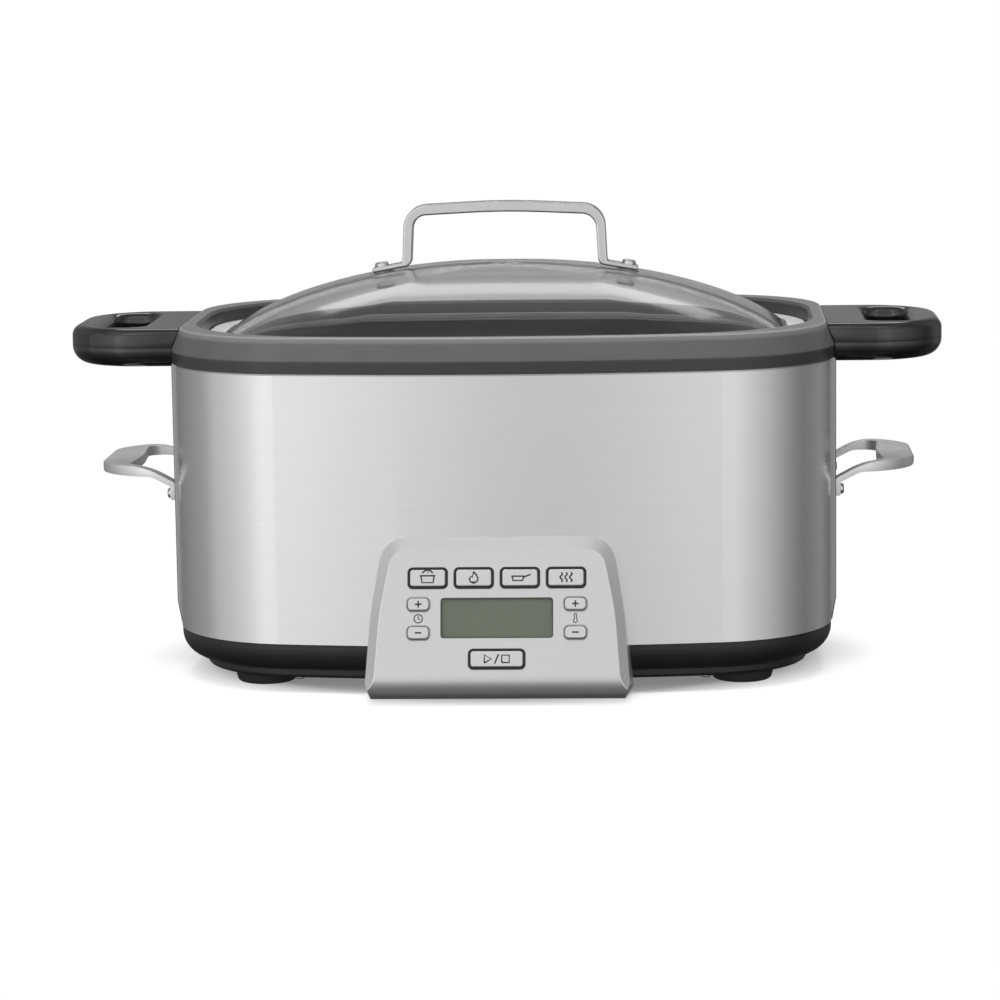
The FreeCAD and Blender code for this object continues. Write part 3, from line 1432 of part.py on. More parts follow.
def build():
    envelope = housing_envelope()
    tray = base_block("base_block", d.base_inset, d.base_bottom, d.base_round,
                      d.housing_bottom - d.base_bottom)
    housing_shell()
    for side_name, side in SIDES:
        end_panel(side_name, side, envelope)
        side_handle(side_name, side)
    side_handle_rivets()
    base_tray(tray)
    bottom_cover()
    bottom_cover_screws()
    feet()
    inner_liner()
    heating_plate()
    heating_element()
    places = [(d.standoff_x * u, d.standoff_y * v) for u in (-1, 1) for v in (-1, 1)]
    upright_posts("plate_standoffs", d.standoff_radius, d.liner_floor + d.liner_sheet, d.plate_bottom, places)
    sensor_parts()
    thermal_fuse()
    power_electronics()
    cord_gland()
    ribbon_cable()
    cooking_pot()
    rim = rim_envelope()
    for side_name, side in SIDES:
        pot_handle(side_name, side, rim)
    pot_handle_screws()
    bores = lid_bores()
    lid_glass(bores)
    lid_rim()
    lid_handle(bores)
    lid_fixings()
    panel_housing(envelope, tray)
    button_frame()
    buttons()
    display()
    control_board()
    tact_switches()
    board_screws()
    check_and_write()


build()
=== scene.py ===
# %% [markdown]
# # A slow cooker, dressed in Blender
# The cooker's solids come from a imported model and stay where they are. This lesson gives them
# the finishes of the real thing: brushed steel, coated casting, black mouldings, clear glass and
# silver paint. It also adds the printed signs and softens some edges. Lengths are in metres.

# %% Load the frame
import json
import math
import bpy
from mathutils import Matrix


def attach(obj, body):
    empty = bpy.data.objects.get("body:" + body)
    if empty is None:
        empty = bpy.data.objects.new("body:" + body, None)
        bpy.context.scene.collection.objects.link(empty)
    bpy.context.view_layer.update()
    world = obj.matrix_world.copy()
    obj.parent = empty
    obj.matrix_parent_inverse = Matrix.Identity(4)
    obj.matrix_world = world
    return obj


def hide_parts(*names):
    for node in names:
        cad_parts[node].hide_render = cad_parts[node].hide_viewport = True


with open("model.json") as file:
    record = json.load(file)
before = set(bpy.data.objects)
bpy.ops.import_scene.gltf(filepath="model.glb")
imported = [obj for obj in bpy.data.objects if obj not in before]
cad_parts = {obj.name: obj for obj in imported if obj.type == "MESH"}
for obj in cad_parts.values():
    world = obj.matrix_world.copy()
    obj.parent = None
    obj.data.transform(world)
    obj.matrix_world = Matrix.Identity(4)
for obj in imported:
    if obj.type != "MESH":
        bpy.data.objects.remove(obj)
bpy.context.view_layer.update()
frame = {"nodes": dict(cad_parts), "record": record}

import bpy
from mathutils import Matrix, Vector

nodes = frame["nodes"]
record = frame["record"]

# %% [markdown]
# ## Camera
# The photograph was taken from about two metres away with a long lens, a little above the pot's
# rim and to the right of the middle. The camera looks almost nine degrees down, turns three
# degrees back to the cooker and leans a little, so that the rim rises to the right. Building the
# turn from three rotations keeps each of these angles readable.

# %% Camera at the photograph's place
POT_AXIS_Y = 0.01259
CAMERA_RIGHT, CAMERA_AWAY, CAMERA_HEIGHT = 0.0985, 2.0, 0.3888
# The lens and the sensor are in millimetres, and the angles in degrees.
LENS, SENSOR_WIDTH = 129.0, 36.0
LOOK_DOWN, TURN_LEFT, ROLL = 8.571, 2.957, -0.817


def turned(degrees, axis):
    """A turn about one axis."""
    return Matrix.Rotation(math.radians(degrees), 4, axis)


camera_data = bpy.data.cameras.new("camera")
camera_data.sensor_width = SENSOR_WIDTH
camera_data.lens = LENS
camera = bpy.data.objects.new("camera", camera_data)
bpy.context.scene.collection.objects.link(camera)
place = Matrix.Translation((CAMERA_RIGHT, POT_AXIS_Y - CAMERA_AWAY, CAMERA_HEIGHT))
camera.matrix_world = place @ turned(TURN_LEFT, "Z") @ turned(90.0 - LOOK_DOWN, "X") @ turned(ROLL, "Z")
bpy.context.scene.camera = camera
print("camera at", tuple(round(v, 3) for v in camera.matrix_world.translation))

# %% [markdown]
# ## Floor
# The cooker stands on white paper. A round floor carries its soft shadow and fades into a white
# world, so no horizon shows. Only the camera sees it, so that it doesn't flood the cooker with
# light from below. The fade is an oval of glow in the paper's own material, because a wider floor
# would show its edge.

# %% Helpers for materials and their nodes
def shader_of(material):
    """The principled shader of a material."""
    return material.node_tree.nodes["Principled BSDF"]


def new_material(name, color, metallic, roughness, **more):
    """A material with one principled shader and its plain values set."""
    material = bpy.data.materials.new(name)
    material.use_nodes = True
    plain = {"Base Color": (*color, 1.0), "Metallic": metallic, "Roughness": roughness}
    for socket, value in {**plain, **more}.items():
        shader_of(material).inputs[socket].default_value = value
    return material


def feed(owner, value, socket):
    """Give a socket a plain value, or wire another node's socket to it."""
    if isinstance(value, bpy.types.NodeSocket):
        owner.node_tree.links.new(value, socket)
    else:
        socket.default_value = value


def add_node(owner, kind, *fed, **named):
    """One node of a material or the world, its sockets fed in order or by name."""
    node = owner.node_tree.nodes.new(kind)
    for key, value in named.items():
        if key in node.inputs:
            feed(owner, value, node.inputs[key])
        else:
            setattr(node, key, value)
    for socket, value in zip(node.inputs, fed):
        feed(owner, value, socket)
    return node


def object_place(owner):
    """The place on the object, which moves along with it."""
    return add_node(owner, "ShaderNodeTexCoord").outputs["Object"]


def ranged(owner, value, low, high, to_low=0.0, to_high=1.0):
    """A value stretched from one range to another and held at its ends."""
    return add_node(owner, "ShaderNodeMapRange", value, low, high, to_low, to_high).outputs["Result"]


# %% Round white floor
FLOOR_RADIUS, FLOOR_SIDES = 0.46, 128
FADE_OVAL = (1.25, 1.6, 1.0)
FADE_START, FADE_END, LEAST_GLOW = 0.2, 0.26, 0.2
bpy.ops.object.select_all(action="DESELECT")
bpy.ops.mesh.primitive_circle_add(vertices=FLOOR_SIDES, radius=FLOOR_RADIUS, fill_type="NGON",
                                  location=(0, POT_AXIS_Y, 0))
floor = bpy.context.active_object
floor.name = "floor"
paper = new_material("white_paper", (0.93, 0.93, 0.93), 0.0, 0.9)
oval = add_node(paper, "ShaderNodeMapping", Vector=object_place(paper), Scale=FADE_OVAL)
distance = add_node(paper, "ShaderNodeVectorMath", oval.outputs["Vector"], operation="LENGTH")
fade = ranged(paper, distance.outputs["Value"], FADE_START, FADE_END, LEAST_GLOW, 1.0)
glow = add_node(paper, "ShaderNodeEmission", Strength=1.0)
blend = add_node(paper, "ShaderNodeMixShader", fade, shader_of(paper).outputs["BSDF"],
                 glow.outputs["Emission"])
clear = add_node(paper, "ShaderNodeBsdfTransparent")
camera_ray = add_node(paper, "ShaderNodeLightPath").outputs["Is Camera Ray"]
seen = add_node(paper, "ShaderNodeMixShader", camera_ray, clear.outputs["BSDF"], blend.outputs["Shader"])
feed(paper, seen.outputs["Shader"], paper.node_tree.nodes["Material Output"].inputs["Surface"])
floor.data.materials.append(paper)
print("floor radius", FLOOR_RADIUS)

# %% [markdown]
# ## World and lamps
# Steel shows what stands around it, so the world is a studio: a band of light walls with two
# bright strips in front, darker behind, above and below. Walls could be built from planes, but
# two ramps that read only the direction of a ray are lighter and cast no shadow. The camera
# itself sees plain white, and a dimmer white through glass. A wide softbox behind the cooker is
# there for its reflection along the front of the glass dome.

# %% World: white for the camera, a studio for steel
# Bearing in degrees to the right of the front, and how bright the wall is there.
WALLS = ((-180, 0.3), (-150, 0.18), (-126, 0.26), (-98, 0.35), (-75, 0.6), (-55, 0.78), (-44, 0.9),
         (-38, 1.2), (-29, 1.2), (-25, 1.0), (-20, 0.95), (-14, 0.88), (-7, 0.74), (0, 0.6),
         (8, 0.63), (13, 0.82), (20, 0.86), (24, 0.95), (31, 0.95), (36, 0.8), (45, 0.72),
         (61, 0.56), (80, 0.32), (101, 0.16), (130, 0.3), (150, 0.12))
# Height as the sine of the elevation, and the share of the wall's light there.
HEIGHTS = ((-0.75, 0.12), (-0.35, 0.45), (-0.18, 1.0), (0.55, 1.0), (0.8, 0.6), (0.88, 1.2),
           (0.95, 0.7))
# The gradient goes once round the cooker and has its front a quarter of the way along.
FRONT_TURN = 0.25
WHITE, WHITE_THROUGH_GLASS = (1.0, 1.0, 1.0, 1.0), 0.65


def grey_ramp(owner, value, levels):
    """A colour ramp of greys, from pairs of position and level."""
    ramp = add_node(owner, "ShaderNodeValToRGB", value)
    elements = ramp.color_ramp.elements
    for position, level in levels:
        elements.new(position).color = (level, level, level, 1.0)
    elements.remove(elements[0])
    elements.remove(elements[-1])
    return ramp.outputs["Color"]


def mixed(owner, share, first, second, blend_type="MIX"):
    """Two colours mixed by a share."""
    return add_node(owner, "ShaderNodeMix", data_type="RGBA", blend_type=blend_type,
                    Factor=share, A=first, B=second).outputs["Result"]


def calculated(owner, operation, *values):
    """One step of arithmetic on plain values or sockets."""
    return add_node(owner, "ShaderNodeMath", *values, operation=operation).outputs["Value"]


world = bpy.data.worlds.new("studio")
bpy.context.scene.world = world
world.use_nodes = True
ray = add_node(world, "ShaderNodeTexCoord").outputs["Generated"]
bearing = add_node(world, "ShaderNodeTexGradient", Vector=ray, gradient_type="RADIAL").outputs["Color"]
upright = add_node(world, "ShaderNodeSeparateXYZ", ray).outputs["Z"]
walls = grey_ramp(world, bearing,
                  [((FRONT_TURN + degrees / 360.0) % 1.0, level) for degrees, level in WALLS])
heights = grey_ramp(world, ranged(world, upright, -1.0, 1.0),
                    [(0.5 + 0.5 * height, share) for height, share in HEIGHTS])
studio = mixed(world, 1.0, walls, heights, "MULTIPLY")
rays = add_node(world, "ShaderNodeLightPath").outputs
through_glass = calculated(world, "MULTIPLY", rays["Is Transmission Ray"], WHITE_THROUGH_GLASS)
whiteness = calculated(world, "MAXIMUM", rays["Is Camera Ray"], through_glass)
background = world.node_tree.nodes["Background"]
background.inputs["Strength"].default_value = 1.0
feed(world, mixed(world, whiteness, studio, WHITE), background.inputs["Color"])
print("walls", len(WALLS), "heights", len(HEIGHTS))

# %% Soft lamps
def soft_lamp(name, place, target, size, power, mirrored=False):
    """A soft lamp of a width and a depth, aimed at a point and perhaps seen in shiny things."""
    data = bpy.data.lights.new(name, "AREA")
    data.shape = "RECTANGLE"
    data.size, data.size_y = size
    data.energy = power
    lamp = bpy.data.objects.new(name, data)
    bpy.context.scene.collection.objects.link(lamp)
    lamp.location = place
    aim = Vector(target) - Vector(place)
    lamp.rotation_euler = aim.to_track_quat("-Z", "Y").to_euler()
    lamp.visible_glossy = mirrored
    lamp.visible_transmission = False
    print(name, power, "watts")


BODY_MIDDLE, LID_MIDDLE = (0, 0, 0.1), (0, 0, 0.2)
soft_lamp("key_lamp", (-1.0, -1.2, 1.5), BODY_MIDDLE, size=(1.0, 1.0), power=8.0)
soft_lamp("top_lamp", (0.0, 0.0, 1.6), BODY_MIDDLE, size=(1.2, 1.2), power=64.0)
soft_lamp("back_box", (0.0, 1.6, 1.8), LID_MIDDLE, size=(1.5, 0.6), power=6.5, mirrored=True)
bpy.context.scene.view_settings.view_transform = "Standard"

# %% [markdown]
# ## Brushed steel
# The housing is sheet steel brushed round and round, so the scratches lie level. Noise that is
# very long along X and Y and very short along Z gives such lines on every side of the housing.
# It drives a fine relief and the roughness, which draws highlights out upright.

# %% Noise, and what it moves in a finish
NOISE_LOW, NOISE_HIGH = 0.3, 0.7


def noise_field(material, scale, stretch=(1.0, 1.0, 1.0), detail=3.0):
    """Noise on the place on the object, stretched along the axes."""
    mapping = add_node(material, "ShaderNodeMapping", Vector=object_place(material), Scale=stretch)
    noise = add_node(material, "ShaderNodeTexNoise", Vector=mapping.outputs["Vector"], Scale=scale,
                     Detail=detail)
    return noise.outputs["Fac"]


def roughen(material, field, low, high):
    """Let the roughness wander between two values."""
    feed(material, ranged(material, field, NOISE_LOW, NOISE_HIGH, low, high),
         shader_of(material).inputs["Roughness"])


def tint(material, field, dark, light):
    """Let the base colour wander between two near colours, and return it."""
    ramp = add_node(material, "ShaderNodeValToRGB", field)
    stops = ((NOISE_LOW, dark), (NOISE_HIGH, light))
    for element, (position, color) in zip(ramp.color_ramp.elements, stops):
        element.position = position
        element.color = (*color, 1.0)
    feed(material, ramp.outputs["Color"], shader_of(material).inputs["Base Color"])
    return ramp.outputs["Color"]


def relief(material, field, height, strength):
    """Give the surface a fine relief of a height in metres."""
    bump = add_node(material, "ShaderNodeBump", Height=field, Distance=height, Strength=strength)
    feed(material, bump.outputs["Normal"], shader_of(material).inputs["Normal"])


def dress(names, material):
    """Give CAD nodes a finish."""
    for name in names:
        mesh = nodes[name].data
        mesh.materials.clear()
        mesh.materials.append(material)
    print(material.name, "on", len(names), "nodes")


# %% Brushed housing and end panels
FINE_LINES, BROAD_LINES = (10.0, 10.0, 3600.0), (5.0, 5.0, 1600.0)
SIDES = ("left", "right")


def brushed_steel(name, level):
    """Level brushing on steel of a given brightness."""
    steel = new_material(name, (level, level, level + 0.005), 1.0, 0.3)
    lines = noise_field(steel, 1.0, FINE_LINES, 2.0)
    roughen(steel, lines, 0.27, 0.32)
    tint(steel, noise_field(steel, 1.0, BROAD_LINES), [level - 0.01] * 3, [level + 0.01] * 3)
    relief(steel, lines, 0.00001, 0.15)
    return steel


dress(["housing_shell"], brushed_steel("brushed_steel", 0.86))
dress([side + "_end_panel" for side in SIDES], brushed_steel("brushed_end", 0.38))

# %% [markdown]
# ## Coated pot
# The pot is an aluminium casting with a dark satin coating. The coating has a faint grain that
# breaks up its highlights, so a small noise moves its roughness. Shade is painted into the
# coating's colour: the upright band, the wall below its crease and the side towards the lid are
# painted darker as painted shade, and the lip is painted lighter as a painted highlight. So the
# height and the way a face looks pick the painted shade, which needs no seam in the mesh.

# %% Dark pot coating
RIM_CREASE, LIP_TOP = 0.1798, 0.192
CREASE_BLEND = (RIM_CREASE - 0.0012, RIM_CREASE + 0.0008)
LIP_BLEND = (LIP_TOP - 0.0034, LIP_TOP - 0.0022)
# How far a face looks outward: its normal times its level place from the cooker's middle.
OUTWARD_BLEND = (-0.01, 0.03)
LEVEL_PART = (1.0, 1.0, 0.0)
# Painted shade for the upright band, the wall below the crease and the side towards the lid, and a
# painted highlight for the lip.
PAINTED_SHADE_COAT, PAINTED_HIGHLIGHT_COAT = (0.036, 0.036, 0.0365, 1.0), (0.118, 0.118, 0.12, 1.0)
coating = new_material("dark_coating", (0.07, 0.07, 0.071), 0.0, 0.3)
roughen(coating, noise_field(coating, 400.0, detail=2.0), 0.29, 0.32)
coat_tone = tint(coating, noise_field(coating, 60.0), (0.066, 0.066, 0.067), (0.074, 0.074, 0.075))
spot = object_place(coating)
height = add_node(coating, "ShaderNodeSeparateXYZ", spot).outputs["Z"]
normal = add_node(coating, "ShaderNodeNewGeometry").outputs["Normal"]
level_spot = add_node(coating, "ShaderNodeVectorMath", spot, LEVEL_PART, operation="MULTIPLY")
outward = add_node(coating, "ShaderNodeVectorMath", level_spot.outputs["Vector"], normal,
                   operation="DOT_PRODUCT")
outer_side = ranged(coating, outward.outputs["Value"], *OUTWARD_BLEND)
above_crease = calculated(coating, "MULTIPLY", ranged(coating, height, *CREASE_BLEND), outer_side)
# Where the painted highlight along the lip's outer edge and top lies.
lip_highlight_share = calculated(coating, "MULTIPLY", ranged(coating, height, *LIP_BLEND), outer_side)
# The coat's own tone, with painted shade below the crease and on the side towards the lid.
coat_with_painted_shade = mixed(coating, above_crease, PAINTED_SHADE_COAT, coat_tone)
# A painted highlight along the lip, over the painted shade.
feed(coating, mixed(coating, lip_highlight_share, coat_with_painted_shade, PAINTED_HIGHLIGHT_COAT), shader_of(coating).inputs["Base Color"])
dress(["cooking_pot"], coating)

# %% [markdown]
# ## Black mouldings
# The pot's handles are two polished black shells each, screwed together. Such mouldings meet
# in a fine groove, because their edges are never quite sharp. A copy of each shell is merged,
# its flat faces are joined up again, and a bevel rounds its edges. Its root is drawn out almost
# to the pot's rim, so that no light shows between them. The copy then stands for the solid. The
# base is a satin moulding, and the feet are rubber.

# %% Rounded copies of sharp solids
MERGE_GAP = 0.00001
FLAT_ANGLE, SHARP_ANGLE, SMOOTH_ANGLE = (math.radians(degrees) for degrees in (0.5, 38.0, 40.0))
# Faces of a handle's root lie within a reach of the middle and look back at the pot.
ROOT_REACH, ROOT_LOOK = 0.19, -0.4


def only(piece):
    """Select one piece alone and make it active."""
    bpy.ops.object.select_all(action="DESELECT")
    piece.select_set(True)
    bpy.context.view_layer.objects.active = piece


def stand_for(piece, node, material):
    """Let a new piece take a node's place, with its body and finish."""
    body = next(name for name, members in record["behaviour"]["bodies"].items() if node in members)
    piece.data.materials.clear()
    piece.data.materials.append(material)
    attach(piece, body)
    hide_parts(node)
    print(piece.name, len(piece.data.polygons), "faces")


def draw_out_root(piece, length):
    """Move the faces of a handle's root towards the pot."""
    end = math.copysign(1.0, piece.data.vertices[0].co.x)
    for face in piece.data.polygons:
        face.select = face.normal.x * end < ROOT_LOOK and abs(face.center.x) < ROOT_REACH
    bpy.ops.object.mode_set(mode="EDIT")
    bpy.ops.transform.translate(value=(-end * length, 0.0, 0.0))
    bpy.ops.object.mode_set(mode="OBJECT")


def rounded_copy(node, width, material, segments=3, root=0.0):
    """A merged, bevelled copy of a node that stands for it, its root drawn out by a length."""
    only(nodes[node])
    bpy.ops.object.duplicate()
    piece = bpy.context.active_object
    piece.name = node + "_rounded"
    bpy.ops.object.mode_set(mode="EDIT")
    bpy.ops.mesh.select_all(action="SELECT")
    bpy.ops.mesh.remove_doubles(threshold=MERGE_GAP)
    bpy.ops.mesh.dissolve_limited(angle_limit=FLAT_ANGLE)
    bpy.ops.mesh.select_all(action="DESELECT")
    bpy.ops.object.mode_set(mode="OBJECT")
    if root:
        draw_out_root(piece, root)
    bevel = piece.modifiers.new("edges", "BEVEL")
    bevel.width = width
    bevel.segments = segments
    bevel.limit_method = "ANGLE"
    bevel.angle_limit = SHARP_ANGLE
    bpy.ops.object.modifier_apply(modifier=bevel.name)
    bpy.ops.object.shade_smooth_by_angle(angle=SMOOTH_ANGLE)
    stand_for(piece, node, material)


# %% Polished handles
POT_HANDLE_EDGE, POT_HANDLE_ROOT = 0.0006, 0.0009
polished = new_material("polished_black", (0.006, 0.006, 0.007), 0.0, 0.1, **{"Specular IOR Level": 1.0})
roughen(polished, noise_field(polished, 45.0), 0.08, 0.13)
tint(polished, noise_field(polished, 25.0), (0.005, 0.005, 0.006), (0.007, 0.007, 0.008))
for side in SIDES:
    for half in ("top", "bottom"):
        rounded_copy(side + "_pot_handle_" + half, POT_HANDLE_EDGE, polished, root=POT_HANDLE_ROOT)

# %% Satin base and rubber feet
satin = new_material("satin_black", (0.016, 0.016, 0.0165), 0.0, 0.35)
pores = noise_field(satin, 1400.0, detail=2.0)
roughen(satin, pores, 0.3, 0.42)
tint(satin, noise_field(satin, 40.0), (0.014, 0.014, 0.0145), (0.018, 0.018, 0.0185))
relief(satin, pores, 0.00002, 0.4)
dress(["base_tray", "bottom_cover", "cord_gland"], satin)

rubber = new_material("rubber", (0.018, 0.018, 0.018), 0.0, 0.75)
roughen(rubber, noise_field(rubber, 500.0), 0.65, 0.85)
tint(rubber, noise_field(rubber, 80.0), (0.015, 0.015, 0.015), (0.024, 0.024, 0.024))
dress(["foot_%s_%s" % (end, side) for end in ("front", "rear") for side in SIDES], rubber)

# %% [markdown]
# ## Lid
# The lid is a dome of thick clear glass in a rolled steel rim, lifted by a bent bar. Glass shows
# every dent in a surface, so the dome is drawn afresh from its own rule. Its edge is an oblong
# with bowed long sides. That line is extruded ring by ring, each ring a little smaller and
# higher than the last, and the skin is then given its thickness.

# %% Edge of the glass
# Half the length, half the depth, the radius of the bow and the radius of the corners.
GLASS_LENGTH, GLASS_DEPTH, GLASS_BOW, GLASS_CORNER = 0.1571, 0.1031, 0.7371, 0.0731
GLASS_SEAT = 0.1814
ARC_STEPS = 18


def bowed_oblong(length, depth, bow, corner, steps):
    """Points round an oblong with bowed long sides, from its half sizes and radii."""
    across = length - corner
    deep = math.sqrt((bow - corner) ** 2 - across ** 2) - (bow - depth)
    lean = math.asin(across / (bow - corner))
    side = [lean * i / steps for i in range(steps)]
    turn = [lean + (math.pi / 2 - lean) * i / steps for i in range(steps + 1)]
    quarter = [(bow * math.sin(a), bow * math.cos(a) - (bow - depth)) for a in side]
    quarter += [(across + corner * math.sin(a), deep + corner * math.cos(a)) for a in turn]
    half = quarter + [(x, -y) for x, y in reversed(quarter)]
    return half + [(-x, -y) for x, y in half[1:-1]]


edge_points = bowed_oblong(GLASS_LENGTH, GLASS_DEPTH, GLASS_BOW, GLASS_CORNER, ARC_STEPS)
outline = bpy.data.curves.new("glass_dome", "CURVE")
line = outline.splines.new("POLY")
line.points.add(len(edge_points) - 1)
line.use_cyclic_u = True
for point, (x, y) in zip(line.points, edge_points):
    point.co = (x, y + POT_AXIS_Y, GLASS_SEAT, 1.0)
dome = bpy.data.objects.new("glass_dome", outline)
bpy.context.scene.collection.objects.link(dome)
only(dome)
bpy.ops.object.convert(target="MESH")
print(len(edge_points), "points round the glass")

# %% Dome of glass
GLASS_THICKNESS = 0.004
DOME_BASE, DOME_RISE, DOME_REACH, DOME_FULLNESS = 0.1815, 0.0413, 0.158, 0.74
DOME_SMOOTH_ANGLE = math.radians(50.0)
RINGS = 28


def dome_height(share):
    """Height of the dome's skin where its ring is a share of its edge."""
    across = share * GLASS_LENGTH / DOME_REACH
    return DOME_BASE + DOME_RISE * (1.0 - across ** 2) ** DOME_FULLNESS


shares = [1.0] + [math.cos(math.pi / 2 * i / RINGS) for i in range(1, RINGS)]
bpy.ops.object.mode_set(mode="EDIT")
bpy.ops.mesh.select_all(action="SELECT")
level, last_share = GLASS_SEAT, 1.0
for share in shares:
    rise = dome_height(share) - level
    bpy.ops.mesh.extrude_region_move(TRANSFORM_OT_translate={"value": (0.0, 0.0, rise)})
    shrink = share / last_share
    bpy.ops.transform.resize(value=(shrink, shrink, 1.0), center_override=(0.0, POT_AXIS_Y, 0.0))
    level, last_share = level + rise, share
bpy.ops.mesh.edge_face_add()
bpy.ops.mesh.select_all(action="SELECT")
bpy.ops.mesh.normals_make_consistent(inside=False)
bpy.ops.object.mode_set(mode="OBJECT")
skin = dome.modifiers.new("thickness", "SOLIDIFY")
skin.thickness = GLASS_THICKNESS
skin.offset = -1.0
bpy.ops.object.modifier_apply(modifier=skin.name)
bpy.ops.object.shade_smooth_by_angle(angle=DOME_SMOOTH_ANGLE)
print("dome of", len(shares), "rings, top at", round(level, 4))

# %% Clear glass with a soft gleam
# The bend of light is low, as in a thin sheet, and a coat brings back the gleam of real glass.
glass = new_material("clear_glass", (0.79, 0.8, 0.8), 0.0, 0.0,
                     **{"Transmission Weight": 1.0, "IOR": 1.1, "Coat Weight": 1.0,
                        "Coat Roughness": 0.16, "Coat IOR": 1.47})
roughen(glass, noise_field(glass, 30.0), 0.0, 0.02)
stand_for(dome, "lid_glass", glass)

# %% Bright bar, satin rim and clear washers
bright = new_material("bright_steel", (0.8, 0.8, 0.805), 1.0, 0.24)
roughen(bright, noise_field(bright, 1.0, (60.0, 900.0, 900.0), 2.0), 0.2, 0.28)
tint(bright, noise_field(bright, 50.0), (0.78, 0.78, 0.785), (0.82, 0.82, 0.825))
dress(["lid_handle", "lid_handle_screws", "lid_handle_nuts", "side_handle_rivets"], bright)

rolled = new_material("satin_rim", (0.78, 0.78, 0.785), 0.88, 0.45)
roughen(rolled, noise_field(rolled, 140.0), 0.4, 0.5)
tint(rolled, noise_field(rolled, 40.0), (0.75, 0.75, 0.755), (0.8, 0.8, 0.805))
dress(["lid_rim"], rolled)

clear_rubber = new_material("clear_rubber", (0.62, 0.63, 0.62), 0.0, 0.45, **{"Transmission Weight": 0.5})
roughen(clear_rubber, noise_field(clear_rubber, 400.0), 0.38, 0.52)
dress(["lid_handle_washers"], clear_rubber)

# %% [markdown]
# ## Side handles
# Each side handle is a casting with softly rounded edges and a satin silver finish. The solid
# has sharp edges, so it gets a rounded copy as the pot's handles did, with a wider bevel.

# %% Cast silver handles
SIDE_HANDLE_EDGE = 0.0016
cast = new_material("cast_silver", (0.9, 0.9, 0.905), 0.88, 0.36)
grain = noise_field(cast, 700.0, detail=2.0)
roughen(cast, grain, 0.32, 0.42)
tint(cast, noise_field(cast, 70.0), (0.88, 0.88, 0.885), (0.92, 0.92, 0.925))
relief(cast, grain, 0.00002, 0.4)
for side in SIDES:
    rounded_copy(side + "_side_handle", SIDE_HANDLE_EDGE, cast, segments=4)

# %% [markdown]
# ## Control panel
# The panel is one moulding in silver paint. Fine flakes in the paint make it lively up close and
# even from a step away. Its keys have a coarser grain. Each sits in a collar of the frame
# behind: black round the mode and start keys, and painted grey round the small step keys. The
# place on the frame picks the paint, so the frame stays one piece.

# %% Silver paint and key tops
silver = new_material("silver_paint", (0.74, 0.74, 0.745), 0.85, 0.36)
flakes = noise_field(silver, 1800.0, detail=2.0)
roughen(silver, flakes, 0.3, 0.42)
tint(silver, noise_field(silver, 2400.0, detail=1.0), (0.72, 0.72, 0.725), (0.76, 0.76, 0.765))
relief(silver, flakes, 0.00001, 0.4)
dress(["panel_housing"], silver)

key_top = new_material("key_silver", (0.7, 0.7, 0.705), 0.75, 0.4)
speckle = noise_field(key_top, 2600.0, detail=2.0)
roughen(key_top, speckle, 0.34, 0.5)
tint(key_top, speckle, (0.64, 0.64, 0.645), (0.76, 0.76, 0.765))
dress([name for name in nodes if name.startswith("button_") and name != "button_frame"], key_top)

# %% Collars round the keys
# The step keys lie outside this distance from the middle and below this height.
STEP_KEYS_OUT, STEP_KEYS_TOP = 0.0335, 0.0595
COLLAR_BLACK, COLLAR_GREY = (0.012, 0.012, 0.013), (0.3, 0.3, 0.303)
collar = new_material("collar_black", COLLAR_BLACK, 0.0, 0.4)
axes = add_node(collar, "ShaderNodeSeparateXYZ", object_place(collar)).outputs
from_middle = calculated(collar, "ABSOLUTE", axes["X"])
beside = calculated(collar, "GREATER_THAN", from_middle, STEP_KEYS_OUT)
below = calculated(collar, "LESS_THAN", axes["Z"], STEP_KEYS_TOP)
by_step_keys = calculated(collar, "MULTIPLY", beside, below)
feed(collar, mixed(collar, by_step_keys, (*COLLAR_BLACK, 1.0), (*COLLAR_GREY, 1.0)),
     shader_of(collar).inputs["Base Color"])
roughen(collar, noise_field(collar, 900.0), 0.34, 0.46)
dress(["button_frame"], collar)

# %% Display behind its window
# The blank display is grey-green, painted darker round its edge as painted shade of its recess.
DISPLAY_MIDDLE = (0.0, 0.0, 0.0447)
DISPLAY_HALVES = {"X": 0.0298, "Z": 0.0103}
# The painted shade of the recess reaches this far inside and outside the display's edges, in this dark
# colour.
SHADE_INSIDE, SHADE_OUTSIDE = 0.0012, 0.0002
DISPLAY_GREEN, EDGE_SHADE_DARK = (0.232, 0.257, 0.187), (0.03, 0.032, 0.027)
window = new_material("display_window", (0.95, 0.97, 0.95), 0.0, 0.05,
                      **{"Transmission Weight": 1.0, "IOR": 1.3})
roughen(window, noise_field(window, 80.0), 0.03, 0.09)
dress(["display_lens"], window)

display = new_material("blank_display", DISPLAY_GREEN, 0.0, 0.5)
roughen(display, noise_field(display, 300.0), 0.45, 0.55)
offset = add_node(display, "ShaderNodeVectorMath", object_place(display), DISPLAY_MIDDLE,
                  operation="SUBTRACT")
away = add_node(display, "ShaderNodeVectorMath", offset.outputs["Vector"], operation="ABSOLUTE")
axes = add_node(display, "ShaderNodeSeparateXYZ", away.outputs["Vector"]).outputs
near_edges = [ranged(display, axes[axis], half - SHADE_INSIDE, half + SHADE_OUTSIDE)
              for axis, half in DISPLAY_HALVES.items()]
# Painted shade of the recess along the display's edges.
edge_shade_share = calculated(display, "MAXIMUM", *near_edges)
feed(display, mixed(display, edge_shade_share, (*DISPLAY_GREEN, 1.0), (*EDGE_SHADE_DARK, 1.0)),
     shader_of(display).inputs["Base Color"])
dress(["lcd_module"], display)

# %% [markdown]
# ## Signs
# The keys carry plain signs in dark print: a pot, a flame, a pan, steam, plus and minus, start
# and stop, and between the step keys a clock and a thermometer. Each sign is drawn as strokes:
# a curve with a round section, made a mesh, pressed almost flat and laid on its key. A picture
# would be quicker, but strokes stay sharp at any distance.

